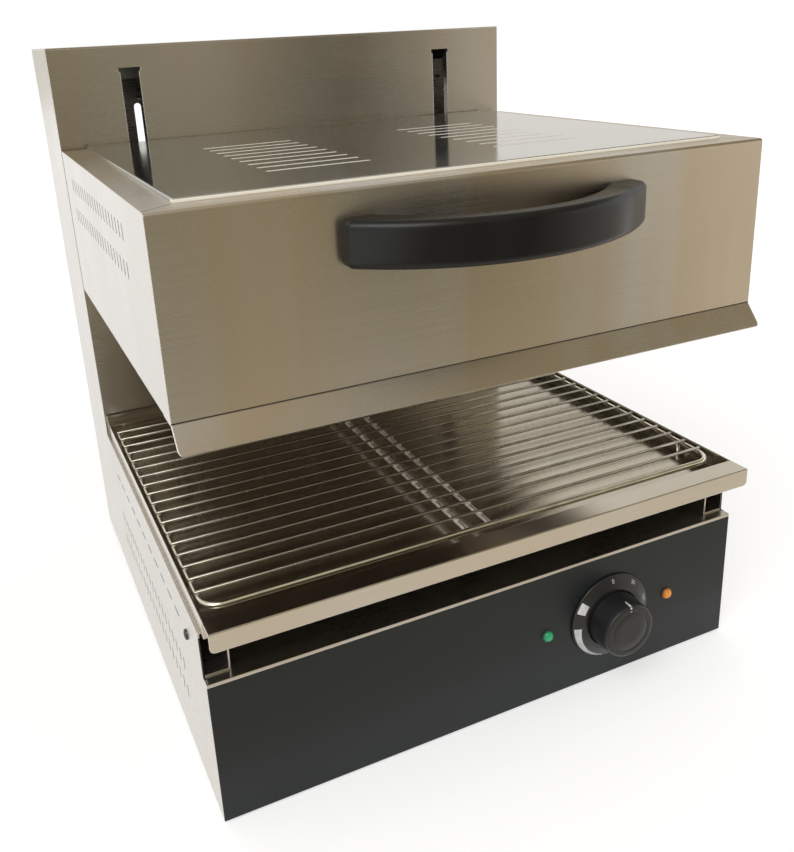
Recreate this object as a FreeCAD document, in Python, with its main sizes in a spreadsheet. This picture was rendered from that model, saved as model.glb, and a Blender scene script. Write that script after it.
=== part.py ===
import FreeCAD, Part
import os
import re
import Sketcher

# Rise and fall salamander grill on a low cabinet, in millimetres.
# The origin is under the middle of the whole outline, on the table. X runs to the right,
# Y to the back and Z up, so the control panel and the handle face minus Y.
# The grill hood is drawn part way up its travel, with the tray pushed home.

DIMENSIONS = [
    # Outline
    ("base_width", 450.0, "cabinet and tower width"),
    ("base_depth", 485.0, "control panel face to rear cover face"),
    ("deck_level", 117.0, "top of the cabinet deck"),
    ("runner_height", 35.0, "tray runner height on the deck"),
    ("tower_height", 513.0, "top of the tower"),
    ("tower_depth", 120.0, "tower front face to rear cover face"),
    ("panel_gauge", 1.2, "cabinet and tower sheet"),
    ("run_gap", 0.3, "clearance between pieces that move past each other"),
    ("bore_gap", 0.05, "radial running clearance of a shaft in its bore"),
    ("overrun", 4.0, "how far a cutting shape runs past what it cuts"),
    # Cabinet
    ("foot_height", 2.0, "rubber pad height"),
    ("foot_radius", 12.0, "rubber pad radius"),
    ("foot_inset", 34.0, "pad centre in from the cabinet edges"),
    ("floor_flange", 15.0, "height of the floor's upturned edges"),
    ("deck_lip", 2.5, "bright deck edge that shows above the control panel"),
    ("runner_width", 18.0, "tray runner width"),
    ("runner_setback", 9.0, "runner front behind the control panel face"),
    ("side_return", 14.0, "width of the side panel's bent rear edge"),
    ("vent_width", 2.0, "width of the upright vent slots"),
    ("vent_height", 11.0, "height of the upright vent slots"),
    ("vent_rise", 25.0, "height from one vent row to the next"),
    ("base_vent_drop", 69.0, "bottom of the lower cabinet vent row below the deck"),
    ("base_vent_start", 80.0, "front vent slot behind the control panel face"),
    ("base_vent_end", 33.0, "rear cabinet vent slot in front of the tower face"),
    ("base_vent_count", 21, "cabinet vent slots in a row"),
    ("dash_length", 15.0, "length of the level slots under the tray"),
    ("dash_height", 1.8, "height of the level slots under the tray"),
    ("dash_end", 52.0, "front end of the last level slot in front of the tower face"),
    ("dash_count", 11, "level slots in the row under the tray"),
    ("dash_rise", 7.0, "bottom of the level slots above the deck"),
    ("dash_start", 73.0, "front level slot behind the control panel face"),
    ("side_screw_start", 51.0, "side screw behind the control panel face"),
    ("screw_radius", 4.0, "screw head radius"),
    ("screw_height", 1.6, "screw head height"),
    ("screw_shank", 1.9, "screw shank radius"),
    ("screw_length", 7.0, "screw shank length"),
    # Controls
    ("knob_inset", 123.0, "knob axis in from the cabinet's right side"),
    ("control_drop", 55.0, "knob axis and lights below the top of the control panel"),
    ("lamp_spread", 59.5, "each light from the knob axis"),
    ("lamp_radius", 5.0, "light lens radius"),
    ("lamp_dome", 4.0, "light lens standing out of the panel"),
    ("lamp_length", 22.0, "light body behind the panel"),
    ("lamp_collar", 1.5, "light body radius beyond the lens"),
    ("dial_radius", 37.0, "scale ring radius"),
    ("dial_rim", 2.0, "scale ring thickness at its rim"),
    ("dial_height", 6.0, "scale ring height beside the knob"),
    ("dial_slope", 9.0, "sloping band of the scale ring, along the radius"),
    ("knob_radius", 24.0, "knob radius"),
    ("knob_height", 27.0, "knob standing out of the panel"),
    ("knob_edge", 1.6, "rounding of the knob face edge"),
    ("knob_taper", 1.2, "knob radius lost from back to face"),
    ("pointer_width", 1.8, "pointer groove width"),
    ("pointer_length", 9.0, "pointer groove length"),
    ("pointer_depth", 0.5, "pointer groove depth"),
    ("spindle_radius", 3.0, "control spindle radius"),
    ("spindle_hole", 5.0, "hole in the control panel for the spindle"),
    ("spindle_depth", 14.0, "spindle bore in the regulator"),
    ("spindle_seat", 16.0, "spindle run inside the knob"),
    ("regulator_width", 46.0, "heat regulator body width"),
    ("regulator_depth", 34.0, "heat regulator body depth"),
    ("tab_length", 6.0, "connection tab length"),
    ("tab_width", 6.3, "connection tab width"),
    ("tab_gauge", 0.8, "connection tab thickness"),
    ("tab_spread", 13.0, "spacing of the connection tabs"),
    ("block_width", 50.0, "terminal block width"),
    ("block_depth", 22.0, "terminal block depth"),
    ("block_height", 18.0, "terminal block height"),
    ("block_gap", 30.0, "terminal block in front of the rear cover"),
    ("wire_entry", 6.0, "width and depth of a terminal block wire entry"),
    ("wire_pitch", 9.0, "spacing of the wire entries"),
    ("wire_count", 5, "wire entries"),
    ("gland_inset", 75.0, "cable gland in from the cabinet's right side"),
    ("gland_level", 44.0, "cable gland height"),
    ("gland_radius", 11.0, "cable gland nut radius"),
    ("gland_stem", 8.0, "cable gland stem radius"),
    ("gland_bore", 4.0, "cable gland bore radius"),
    ("gland_reach", 12.0, "cable gland standing out of the rear cover"),
    ("gland_nut", 6.0, "cable gland lock nut thickness"),
    # Tower
    ("slot_inset", 68.5, "tower slot middle in from the tower side"),
    ("slot_width", 16.5, "tower slot width"),
    ("slot_top_drop", 19.0, "top of the tower slots below the tower top"),
    ("slot_bottom_gap", 8.5, "lift arm at its lowest to the bottom of the slots"),
    ("notch_height", 3.5, "height of the wider notch at the slot top"),
    ("notch_extra", 1.5, "notch past the slot on each side"),
    ("slot_fold", 8.0, "depth of the folded slot edges"),
    ("cap_flange", 10.0, "cap flange height"),
    ("rear_vent_width", 7.0, "rear vent width"),
    ("rear_vent_height", 46.0, "rear vent height"),
    ("rear_vent_inset", 93.0, "end rear vents in from the tower sides"),
    ("rear_vent_count", 13, "rear vents in the row"),
    ("rear_vent_drop", 103.0, "bottom of the rear vents below the tower top"),
    # Hood
    ("hood_drop", 85.5, "hood top below the tower top as drawn"),
    ("hood_height", 125.0, "hood height"),
    ("hood_gap", 6.0, "hood back to tower face"),
    ("hood_gauge", 1.0, "hood sheet"),
    ("hood_bend", 2.5, "rounded bend along the top of the hood front"),
    ("hood_flange", 28.0, "flange round the top of the hood"),
    ("hood_vent_start", 78.0, "front hood vent behind the hood face"),
    ("hood_vent_drop", 29.0, "bottom of the upper hood vents below the hood top"),
    ("hood_vent_end", 47.3, "rear hood vent in front of the hood back"),
    ("hood_vent_count", 20, "hood side vents in a row"),
    ("cover_margin", 21.0, "hood top flange that shows round the cover"),
    ("cover_rim", 2.5, "height of the cover's bent edges"),
    ("grille_length", 76.0, "cover slot length"),
    ("grille_width", 4.0, "cover slot width"),
    ("grille_end", 107.0, "rear cover slot in front of the hood back"),
    ("grille_count", 9, "cover slots in each group"),
    ("grille_inset", 137.0, "middle of each slot group in from the hood side"),
    ("grille_start", 88.0, "front cover slot behind the hood face"),
    ("lip_reach", 13.0, "deflector lip in front of the hood face"),
    ("lip_drop", 15.5, "deflector lip below the hood"),
    ("lip_tail", 20.0, "deflector lip run under the hood"),
    ("lip_corner", 3.0, "corner radius at the ends of the deflector lip"),
    ("handle_width", 222.0, "handle bow width"),
    ("handle_reach", 55.0, "handle standing out of the hood face"),
    ("handle_height", 30.0, "handle height"),
    ("handle_grip", 16.5, "thickness of the bow at its middle"),
    ("handle_foot", 27.0, "width of each end of the bow on the hood"),
    ("handle_end", 10.0, "length of the straight sides of the bow ends"),
    ("handle_round", 5.0, "rounding of the handle edges"),
    ("handle_drop", 32.0, "handle middle below the hood top"),
    ("reflector_gauge", 0.8, "reflector sheet"),
    ("reflector_height", 46.0, "reflector height"),
    ("wiring_space", 30.0, "space between the hood's left side and the reflector"),
    ("reflector_inset", 8.0, "reflector in from the hood front and back"),
    ("reflector_lap", 4.0, "reflector edge resting on the hood's bottom flange"),
    ("blanket_thickness", 25.0, "insulation thickness"),
    ("blanket_inset", 6.0, "insulation in from the reflector edges"),
    ("element_radius", 4.0, "heating element radius"),
    ("element_spread", 50.0, "distance between the two legs of an element"),
    ("element_inset", 74.5, "outer elements in from the hood front and back"),
    ("element_rise", 24.0, "element axis above the hood underside"),
    ("element_reach", 14.0, "element leg past the reflector side"),
    ("element_clear", 20.0, "element bend short of the reflector side"),
    ("element_gap", 0.2, "clearance round an element in its supports"),
    ("bead_radius", 5.5, "element terminal radius"),
    ("bead_length", 11.0, "element terminal length"),
    ("bracket_gauge", 1.5, "element bracket sheet"),
    ("bracket_height", 30.0, "element bracket height"),
    ("bracket_inset", 150.0, "element bracket in from the hood side"),
    # Lift
    ("arm_gauge", 6.0, "lift arm thickness"),
    ("arm_height", 55.0, "lift arm height"),
    ("arm_rise", 40.0, "lift arm bottom above the hood underside"),
    ("arm_flange", 34.0, "lift arm flange width on the hood back"),
    ("arm_flange_gauge", 3.0, "lift arm flange thickness"),
    ("arm_bolt_side", 11.5, "arm bolt beside the lift arm middle"),
    ("arm_bolt_spread", 36.0, "height between the arm bolts"),
    ("carriage_gap", 11.0, "tower face to the carriage plate"),
    ("carriage_gauge", 2.5, "carriage sheet"),
    ("carriage_height", 65.0, "carriage height"),
    ("carriage_rise", 35.0, "carriage bottom above the hood underside"),
    ("carriage_side_gap", 24.5, "carriage ear face to the outer face of the rail web"),
    ("carriage_ear", 34.0, "depth of the carriage ears"),
    ("rail_inset", 36.0, "rail axis behind the tower face"),
    ("rail_side_gap", 10.8, "rail web to the inside of the side panel"),
    ("rail_depth", 21.0, "rail flange depth"),
    ("rail_gauge", 2.0, "rail sheet"),
    ("rail_floor_gap", 1.0, "rails above the deck"),
    ("rail_top_gap", 10.8, "rails below the tower roof"),
    ("roller_radius", 11.0, "guide roller radius"),
    ("roller_width", 8.0, "guide roller width"),
    ("roller_inset", 14.0, "roller axis in from the carriage ends"),
    ("roller_clear", 5.0, "roller face beyond the carriage ear"),
    ("pin_radius", 4.0, "roller pin radius"),
    ("pin_collar", 2.0, "roller pin collar radius beyond the pin"),
    ("pin_clip", 1.2, "roller pin end collar thickness"),
    ("bridge_height", 18.0, "height of the bars across the rails"),
    ("bridge_gauge", 2.0, "thickness of the bars across the rails"),
    ("shaft_inset", 72.0, "chain shafts behind the tower face"),
    ("shaft_drop", 45.0, "upper shaft below the tower top"),
    ("shaft_rise", 35.0, "lower shaft above the deck"),
    ("shaft_radius", 5.0, "chain shaft radius"),
    ("shaft_side_gap", 85.0, "chain shaft end in from the tower side"),
    ("bearing_inset", 97.0, "bearing block middle in from the tower side"),
    ("bearing_width", 12.0, "bearing block width"),
    ("bearing_wall", 6.0, "bearing block wall round the shaft"),
    ("wheel_radius", 17.0, "chain wheel radius"),
    ("wheel_width", 5.0, "chain wheel width"),
    ("wheel_inset", 125.0, "chain wheel middle in from the tower side"),
    ("hub_radius", 9.0, "chain wheel hub radius"),
    ("hub_width", 12.0, "chain wheel hub width"),
    ("chain_thickness", 4.0, "lift chain thickness"),
    ("chain_width", 7.0, "lift chain width"),
    ("clamp_width", 14.0, "chain clamp width"),
    ("clamp_height", 16.0, "chain clamp height"),
    ("clamp_plate", 3.0, "weight clamp plate thickness"),
    ("weight_side_gap", 30.0, "counterweight end in from the tower side"),
    ("weight_depth", 32.0, "counterweight thickness"),
    ("weight_height", 65.0, "counterweight height"),
    ("weight_top_gap", 16.0, "counterweight at its highest to the upper chain wheels"),
    ("weight_back_gap", 2.5, "counterweight to the rear cover"),
    ("weight_slot", 12.0, "counterweight channel for the chain, both ways"),
    ("stop_height", 10.0, "travel stop height"),
    ("stop_gap", 1.0, "roller to travel stop at the end of the travel"),
    ("raised_gap", 10.5, "hood top at its highest below the tower top"),
    ("lowered_gap", 4.3, "deflector lip at its lowest above the tray upstand"),
    # Tray and rack
    ("tray_side_gap", 2.0, "tray end in from the cabinet side"),
    ("tray_overhang", 17.0, "tray lip in front of the control panel face"),
    ("tray_height", 14.4, "tray height"),
    ("tray_gauge", 1.0, "tray sheet"),
    ("tray_front_rim", 18.5, "flat rim along the tray front"),
    ("tray_back_rim", 13.0, "flat rim along the tray back"),
    ("tray_back_gap", 2.0, "tray back to the tower face"),
    ("tray_upstand", 6.0, "tray back edge above the rim"),
    ("tray_bend", 0.9, "bend radius along the tray lip"),
    ("tray_corner", 3.5, "lower corner radius at the ends of the tray lip"),
    ("rack_side_gap", 5.5, "rack side rail axis in from the tray end"),
    ("rail_wire_radius", 2.5, "rack frame wire radius"),
    ("rack_corner", 14.0, "rack corner radius"),
    ("rack_front_gap", 15.5, "rack front wire behind the tray front rim"),
    ("rack_back_gap", 9.0, "rack back wire in front of the tray back rim"),
    ("rack_rise", 9.0, "rack frame axis above the tray floor"),
    ("rod_radius", 1.5, "rack rod radius"),
    ("rod_past", 1.8, "rack rod end past the side rail axis"),
    ("rod_first", 16.5, "first rod behind the front wire"),
    ("rod_last", 10.0, "last rod in front of the back wire"),
    ("rod_count", 18, "rack rods"),
    ("rod_weld", 0.5, "rod sunk into the wires that carry it"),
    ("middle_spread", 20.0, "distance between the two middle wires"),
    ("middle_shift", 8.0, "middle wires left of the centre plane"),
    ("middle_radius", 2.0, "middle wire radius"),
    ("leg_radius", 2.0, "rack leg radius"),
    ("leg_inset", 40.0, "rack leg in from the rack ends"),
]

# Places worked out from the driving dimensions.
PLACES = {
    "half_width": "(base_width / 2)",
    "inner_half": "(half_width - panel_gauge)",
    "base_front": "((handle_reach - base_depth - gland_reach) / 2)",
    "front_inside": "(base_front + panel_gauge)",
    "base_back": "(base_front + base_depth)",
    "cover_face": "(base_back - panel_gauge)",
    "tower_front": "(base_back - tower_depth)",
    "tower_inside": "(tower_front + panel_gauge)",
    "floor_top": "(foot_height + panel_gauge)",
    "panel_top": "(deck_level - deck_lip)",
    "control_level": "(panel_top - control_drop)",
    "base_vent_level": "(deck_level - base_vent_drop)",
    "dash_level": "(deck_level + dash_rise)",
    "runner_level": "(deck_level + runner_height)",
    "base_vent_run": "(tower_front - base_vent_end - base_front - base_vent_start)",
    "base_vent_pitch": "(base_vent_run / (base_vent_count - 1))",
    "dash_pitch": "((tower_front - dash_end - base_front - dash_start) / (dash_count - 1))",
    "roof_level": "(tower_height - panel_gauge)",
    "slot_offset": "(half_width - slot_inset)",
    "slot_top": "(tower_height - slot_top_drop)",
    "slot_bottom": "(arm_level - travel_down - slot_bottom_gap)",
    "rear_vent_level": "(tower_height - rear_vent_drop)",
    "rear_vent_pitch": "((half_width - rear_vent_inset) * 2 / (rear_vent_count - 1))",
    "runner_front": "(base_front + runner_setback)",
    "runner_half": "(inner_half - runner_width)",
    "knob_offset": "(half_width - knob_inset)",
    "gland_offset": "(half_width - gland_inset)",
    "spindle_front": "(base_front - spindle_seat)",
    "regulator_back": "(front_inside + regulator_depth)",
    "hood_back": "(tower_front - hood_gap)",
    "hood_level": "(tower_height - hood_drop - hood_height)",
    "hood_top": "(hood_level + hood_height)",
    "hood_half": "(half_width - hood_gauge)",
    "cover_half": "(half_width - cover_margin)",
    "opening_half": "(half_width - hood_flange)",
    "hood_vent_pitch": "((hood_back - hood_vent_end - base_front - hood_vent_start) / (hood_vent_count - 1))",
    "grille_pitch": "((hood_back - grille_end - base_front - grille_start) / (grille_count - 1))",
    "grille_offset": "(half_width - grille_inset)",
    "handle_level": "(hood_top - handle_drop)",
    "bow_crown": "(handle_reach - handle_end)",
    "bow_outer": "((handle_width ^ 2 / 4 + bow_crown ^ 2) / (2 * bow_crown))",
    "bow_chord": "(handle_width / 2 - handle_foot)",
    "bow_rise": "(handle_reach - handle_grip)",
    "bow_inner": "((bow_chord ^ 2 + bow_rise ^ 2) / (2 * bow_rise))",
    "handle_screw_side": "(handle_width / 2 - handle_foot / 2)",
    "lip_run": "(hood_gauge * sqrt(lip_reach ^ 2 + lip_drop ^ 2) / lip_drop)",
    "reflector_low": "(hood_level + hood_gauge)",
    "reflector_top": "(reflector_low + reflector_height)",
    "reflector_west": "(wiring_space - half_width)",
    "reflector_east": "(half_width - wiring_space / 2)",
    "reflector_south": "(base_front + reflector_inset)",
    "reflector_north": "(hood_back - reflector_inset)",
    "element_level": "(hood_level + element_rise)",
    "element_middle": "((base_front + hood_back) / 2)",
    "element_pitch": "((hood_back - base_front) / 2 - element_inset)",
    "bracket_offset": "(half_width - bracket_inset)",
    "element_start": "(reflector_west - element_reach)",
    "element_end": "(reflector_east - element_clear - element_spread / 2)",
    "arm_level": "(hood_level + arm_rise)",
    "arm_middle": "(arm_level + arm_height / 2)",
    "carriage_front": "(tower_front + carriage_gap)",
    "carriage_back": "(carriage_front + carriage_gauge)",
    "carriage_low": "(hood_level + carriage_rise)",
    "carriage_middle": "(carriage_low + carriage_height / 2)",
    "rail_web": "(inner_half - rail_side_gap)",
    "carriage_half": "(rail_web - carriage_side_gap)",
    "rail_bottom": "(deck_level + rail_floor_gap)",
    "rail_top": "(roof_level - rail_top_gap)",
    "rail_axis": "(tower_front + rail_inset)",
    "rail_half": "(roller_radius + run_gap)",
    "rail_front": "(rail_axis - rail_half - rail_gauge)",
    "rail_back": "(rail_axis + rail_half + rail_gauge)",
    "rail_flange": "(rail_web - rail_depth)",
    "bridge_back": "(rail_back + bridge_gauge)",
    "roller_lower": "(carriage_low + roller_inset)",
    "roller_upper": "(carriage_low + carriage_height - roller_inset)",
    "roller_face": "(carriage_half + roller_clear)",
    "roller_end": "(roller_face + roller_width)",
    "shaft_axis": "(tower_front + shaft_inset)",
    "shaft_upper": "(tower_height - shaft_drop)",
    "shaft_lower": "(deck_level + shaft_rise)",
    "shaft_half": "(half_width - shaft_side_gap)",
    "bearing_offset": "(half_width - bearing_inset)",
    "wheel_offset": "(half_width - wheel_inset)",
    "chain_inner": "(wheel_radius + run_gap)",
    "chain_outer": "(chain_inner + chain_thickness)",
    "weight_back": "(cover_face - weight_back_gap)",
    "weight_front": "(weight_back - weight_depth)",
    "weight_half": "(half_width - weight_side_gap)",
    "weight_level": "(shaft_upper - wheel_radius - weight_top_gap - travel_down - weight_height)",
    "weight_middle": "(weight_level + weight_height / 2)",
    "travel_up": "(hood_drop - raised_gap)",
    "travel_down": "(hood_level - lip_drop - tray_top - tray_upstand - lowered_gap)",
    "tray_half": "(half_width - tray_side_gap)",
    "tray_level": "(runner_level + run_gap)",
    "tray_top": "(tray_level + tray_height)",
    "tray_floor": "(tray_level + tray_gauge)",
    "tray_front": "(base_front - tray_overhang)",
    "tray_back": "(tower_front - tray_back_gap)",
    "tray_inner_front": "(tray_front + tray_front_rim)",
    "tray_inner_back": "(tray_back - tray_back_rim)",
    "rack_half": "(tray_half - rack_side_gap)",
    "rack_level": "(tray_floor + rack_rise)",
    "rack_front": "(tray_inner_front + rack_front_gap)",
    "rack_back": "(tray_inner_back - rack_back_gap)",
    "rod_pitch": "((rack_back - rack_front - rod_first - rod_last) / (rod_count - 1))",
    "rod_level": "(rack_level + rail_wire_radius + rod_radius - rod_weld)",
}
LEFT_RIGHT = (("left", -1), ("right", 1))
PLANES = {"x": "YZ_Plane", "y": "XZ_Plane", "z": "XY_Plane"}
FACING = {"x": 1, "y": -1, "z": 1}
TURNS = {
    "x": FreeCAD.Rotation(FreeCAD.Vector(0, 1, 0), 90),
    "y": FreeCAD.Rotation(FreeCAD.Vector(1, 0, 0), -90),
    "z": FreeCAD.Rotation(),
}

os.makedirs("parts", exist_ok=True)
doc = FreeCAD.newDocument("lift_grill")
sheet = doc.addObject("Spreadsheet::Sheet", "sizes")
for row, (alias, value, meaning) in enumerate(DIMENSIONS, start=1):
    sheet.set(f"A{row}", meaning)
    sheet.set(f"B{row}", str(value))
    sheet.setAlias(f"B{row}", alias)
doc.recompute()
ALIASES = {alias for alias, value, meaning in DIMENSIONS}
WORD = re.compile(r"[a-z][a-z_]*")
nodes = []


def formula(text):
    """Write named places and dimensions out in the cells of the sheet."""
    def in_cells(match):
        word = match.group()
        if word in PLACES:
            return formula(PLACES[word])
        return "sizes." + word if word in ALIASES else word
    return WORD.sub(in_cells, str(text))


def size(text):
    """The present value of a formula."""
    return float(sheet.evalExpression(formula(text)))


TOUCH = size("bore_gap / 10")


def bind(thing, path, text):
    thing.setExpression(path, formula(text))


def move(thing, at):
    for axis, text in zip("xyz", at):
        bind(thing, f"Placement.Base.{axis}", text)
    return thing


def span(side, near, far):
    """The X limits of something between two distances from the centre plane, on one side."""
    return (near, far) if side > 0 else (f"-({far})", f"-({near})")


def block(name, xs, ys, zs):
    """A box between two limits along each axis."""
    box = doc.addObject("Part::Box", name)
    for path, (low, high) in zip(("Length", "Width", "Height"), (xs, ys, zs)):
        bind(box, path, f"({high}) - ({low})")
    return move(box, (xs[0], ys[0], zs[0]))


def bar(name, radius, axis, limits, across):
    """A round bar between two limits along one axis; across gives its place on the other two."""
    low, high = limits
    cylinder = doc.addObject("Part::Cylinder", name)
    cylinder.Placement = FreeCAD.Placement(FreeCAD.Vector(), TURNS[axis])
    bind(cylinder, "Radius", radius)
    bind(cylinder, "Height", f"({high}) - ({low})")
    at = list(across)
    at.insert("xyz".index(axis), low)
    return move(cylinder, at)


def fuse(name, pieces):
    joined = doc.addObject("Part::MultiFuse", name)
    joined.Shapes = pieces
    return joined


def cut(name, base, tools):
    left = doc.addObject("Part::Cut", name)
    left.Base = base
    left.Tool = tools[0] if len(tools) == 1 else fuse(name + "_cutters", tools)
    return left


def gather(name, pieces):
    """Separate solids that share one node."""
    group = doc.addObject("Part::Compound", name)
    group.Links = pieces
    return group


def node(label, thing):
    thing.Label = label
    nodes.append(thing)
    return thing


def start_body(name, base=None):
    body = doc.addObject("PartDesign::Body", name)
    if base:
        body.BaseFeature = base
    return body


def origin_item(body, role):
    return next(item for item in body.Origin.OriginFeatures if item.Role == role)


def draw(body, name, axis, at, outlines, circles):
    """A sketch square to an axis: closed outlines given by their corners, and circles."""
    sketch = body.newObject("Sketcher::SketchObject", name)
    sketch.AttachmentSupport = (origin_item(body, PLANES[axis]), [""])
    sketch.MapMode = "FlatFace"
    bind(sketch, "AttachmentOffset.Base.z", f"{FACING[axis]} * ({at})")

    def hold(kind, text, *which):
        number = sketch.addConstraint(Sketcher.Constraint(kind, *which, size(text)))
        sketch.setExpression(f"Constraints[{number}]", formula(text))

    for corners in outlines:
        first = sketch.GeometryCount
        points = [FreeCAD.Vector(size(across), size(up), 0) for across, up in corners]
        following = points[1:] + points[:1]
        sketch.addGeometry([Part.LineSegment(*ends) for ends in zip(points, following)], False)
        for index, (across, up) in enumerate(corners):
            onward = (index + 1) % len(corners)
            sketch.addConstraint(Sketcher.Constraint("Coincident", first + index, 2, first + onward, 1))
            hold("DistanceX", across, -1, 1, first + index, 1)
            hold("DistanceY", up, -1, 1, first + index, 1)
    for across, up, radius in circles:
        centre = FreeCAD.Vector(size(across), size(up), 0)
        ring = sketch.addGeometry(Part.Circle(centre, FreeCAD.Vector(0, 0, 1), size(radius)), False)
        hold("DistanceX", across, -1, 1, ring, 3)
        hold("DistanceY", up, -1, 1, ring, 3)
        hold("Radius", radius, ring)
    return sketch


def shape(kind, body, name, axis, limits, outlines=(), circles=()):
    """A pad or a pocket of a sketch, between two limits along an axis."""
    low, high = limits
    sketch = draw(body, name + "_sketch", axis, f"(({low}) + ({high})) / 2", outlines, circles)
    feature = body.newObject("PartDesign::" + kind, name)
    feature.Profile = sketch
    feature.SideType = "Symmetric"
    bind(feature, "Length", f"({high}) - ({low})")
    return feature


def pad(*arguments, **more):
    return shape("Pad", *arguments, **more)


def pocket(*arguments, **more):
    return shape("Pocket", *arguments, **more)


def rectangle(across, up):
    """The corners of a rectangle between two limits each way."""
    return [(across[0], up[0]), (across[1], up[0]), (across[1], up[1]), (across[0], up[1])]


def repeat(body, name, features, role, pitch, count):
    """A straight row of copies of some features."""
    row_of_copies = body.newObject("PartDesign::LinearPattern", name)
    row_of_copies.Originals = features
    row_of_copies.Direction = (origin_item(body, role), [""])
    row_of_copies.Mode = "Spacing"
    bind(row_of_copies, "Offset", pitch)
    bind(row_of_copies, "Occurrences", count)
    body.Tip = row_of_copies
    return row_of_copies


def lies(edge, **planes):
    """True for an edge whose whole length is at the given places."""
    box = edge.BoundBox
    ends = {"x": (box.XMin, box.XMax), "y": (box.YMin, box.YMax), "z": (box.ZMin, box.ZMax)}
    return all(abs(end - size(text)) < TOUCH for axis, text in planes.items() for end in ends[axis])


def round_edges(body, name, radius, choices, skipped=()):
    """Round the edges that lie at any of the chosen places, but not those at a skipped one."""
    doc.recompute()
    before = body.Tip
    chosen = []
    for number, edge in enumerate(before.Shape.Edges, start=1):
        wanted = any(lies(edge, **places) for places in choices)
        if wanted and not any(lies(edge, **places) for places in skipped):
            chosen.append(f"Edge{number}")
    feature = body.newObject("PartDesign::Fillet", name)
    feature.Base = (before, chosen)
    bind(feature, "Radius", radius)
    body.Tip = feature
    return feature


def turned(name, profile, at):
    """A piece turned about an axis along Y: its profile is pairs of radius and place along the axis."""
    body = start_body(name)
    sketch = draw(body, name + "_sketch", "z", 0, [profile], ())
    feature = body.newObject("PartDesign::Revolution", name + "_turning")
    feature.Profile = sketch
    feature.ReferenceAxis = (sketch, ["V_Axis"])
    feature.Angle = 360
    return move(body, at)


def screw(name, axis, face, across, shank, outward):
    """A screw whose head stands outward from a face, and whose shank runs the other way."""
    head = (face, f"{face} + screw_height") if outward > 0 else (f"{face} - screw_height", face)
    stem = (f"{face} - ({shank})", face) if outward > 0 else (face, f"{face} + ({shank})")
    pieces = [
        bar(name + "_head", "screw_radius", axis, head, across),
        bar(name + "_stem", "screw_shank", axis, stem, across),
    ]
    return fuse(name, pieces)


def lower_corners(name, half, bottom, radius, ys):
    """Cutters that round the two lower corners of a piece as seen from the front."""
    cutters = []
    for label, side in LEFT_RIGHT:
        own = f"{name}_corner_{label}"
        waste = block(own + "_waste", span(side, f"{half} - {radius}", f"{half} + overrun"), ys,
                      (f"{bottom} - overrun", f"{bottom} + {radius}"))
        kept = bar(own + "_kept", radius, "y", ys, (f"{side} * ({half} - {radius})", f"{bottom} + {radius}"))
        cutters.append(cut(own, waste, [kept]))
    return cutters


# Cabinet
SIDE_SCREW = ("base_front + side_screw_start", "dash_level")
REAR_SCREW_SHARES = (0.1, 0.5, 0.9)
REAR_SCREWS = [
    (side, f"{side} * (inner_half - side_return / 2)", f"tower_height * {share}")
    for label, side in LEFT_RIGHT
    for share in REAR_SCREW_SHARES
]


def side_panel(label, side):
    """One sheet for the cabinet side and the tower side, with a bent rear edge."""
    name = "side_panel_" + label
    body = start_body(name)
    outline = [
        ("front_inside", "foot_height"),
        ("cover_face", "foot_height"),
        ("cover_face", "roof_level"),
        ("tower_inside", "roof_level"),
        ("tower_inside", "runner_level"),
        ("runner_front", "runner_level"),
        ("runner_front", "deck_level"),
        ("front_inside", "deck_level"),
    ]
    pad(body, name + "_sheet", "x", span(side, "inner_half", "half_width"), [outline])
    bent = rectangle(("cover_face - panel_gauge", "cover_face"),
                     ("floor_top + floor_flange", "roof_level - cap_flange"))
    pad(body, name + "_edge", "x", span(side, "inner_half - side_return", "inner_half"), [bent])
    through = span(side, "inner_half - overrun", "half_width + overrun")
    first = "base_front + base_vent_start"
    rows = [
        rectangle((first, first + " + vent_width"), (low, low + " + vent_height"))
        for low in ("base_vent_level", "base_vent_level + vent_rise")
    ]
    vents = pocket(body, name + "_vents", "x", through, rows)
    repeat(body, name + "_vent_row", [vents], "Y_Axis", "base_vent_pitch", "base_vent_count")
    first = "base_front + dash_start"
    dash = rectangle((first, first + " + dash_length"), ("dash_level", "dash_level + dash_height"))
    dashes = pocket(body, name + "_dash", "x", through, [dash])
    repeat(body, name + "_dash_row", [dashes], "Y_Axis", "dash_pitch", "dash_count")
    pocket(body, name + "_screw_hole", "x", through, circles=[SIDE_SCREW + ("screw_shank",)])
    holes = [(x, z, "screw_shank") for own, x, z in REAR_SCREWS if own == side]
    behind = ("cover_face - panel_gauge - overrun", "cover_face + overrun")
    pocket(body, name + "_cover_holes", "y", behind, circles=holes)
    return node(name, body)


def tray_runner(label, side):
    """A channel, open to the front and to the side panel, that carries one edge of the tray."""
    name = "tray_runner_" + label
    outer = block(name + "_outer", span(side, "runner_half", "inner_half"),
                  ("runner_front", "tower_front"), ("deck_level", "runner_level"))
    inner = block(name + "_inner", span(side, "runner_half + panel_gauge", "inner_half + overrun"),
                  ("runner_front - overrun", "tower_front + overrun"),
                  ("deck_level + panel_gauge", "runner_level - panel_gauge"))
    return node(name, cut(name, outer, [inner]))


def base_floor():
    """A pan with upturned edges."""
    outer = block("floor_outer", ("-inner_half", "inner_half"), ("front_inside", "cover_face"),
                  ("foot_height", "floor_top + floor_flange"))
    inner = block("floor_inner", ("panel_gauge - inner_half", "inner_half - panel_gauge"),
                  ("front_inside + panel_gauge", "cover_face - panel_gauge"),
                  ("floor_top", "floor_top + floor_flange + overrun"))
    return node("base_floor", cut("base_floor", outer, [inner]))


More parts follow.
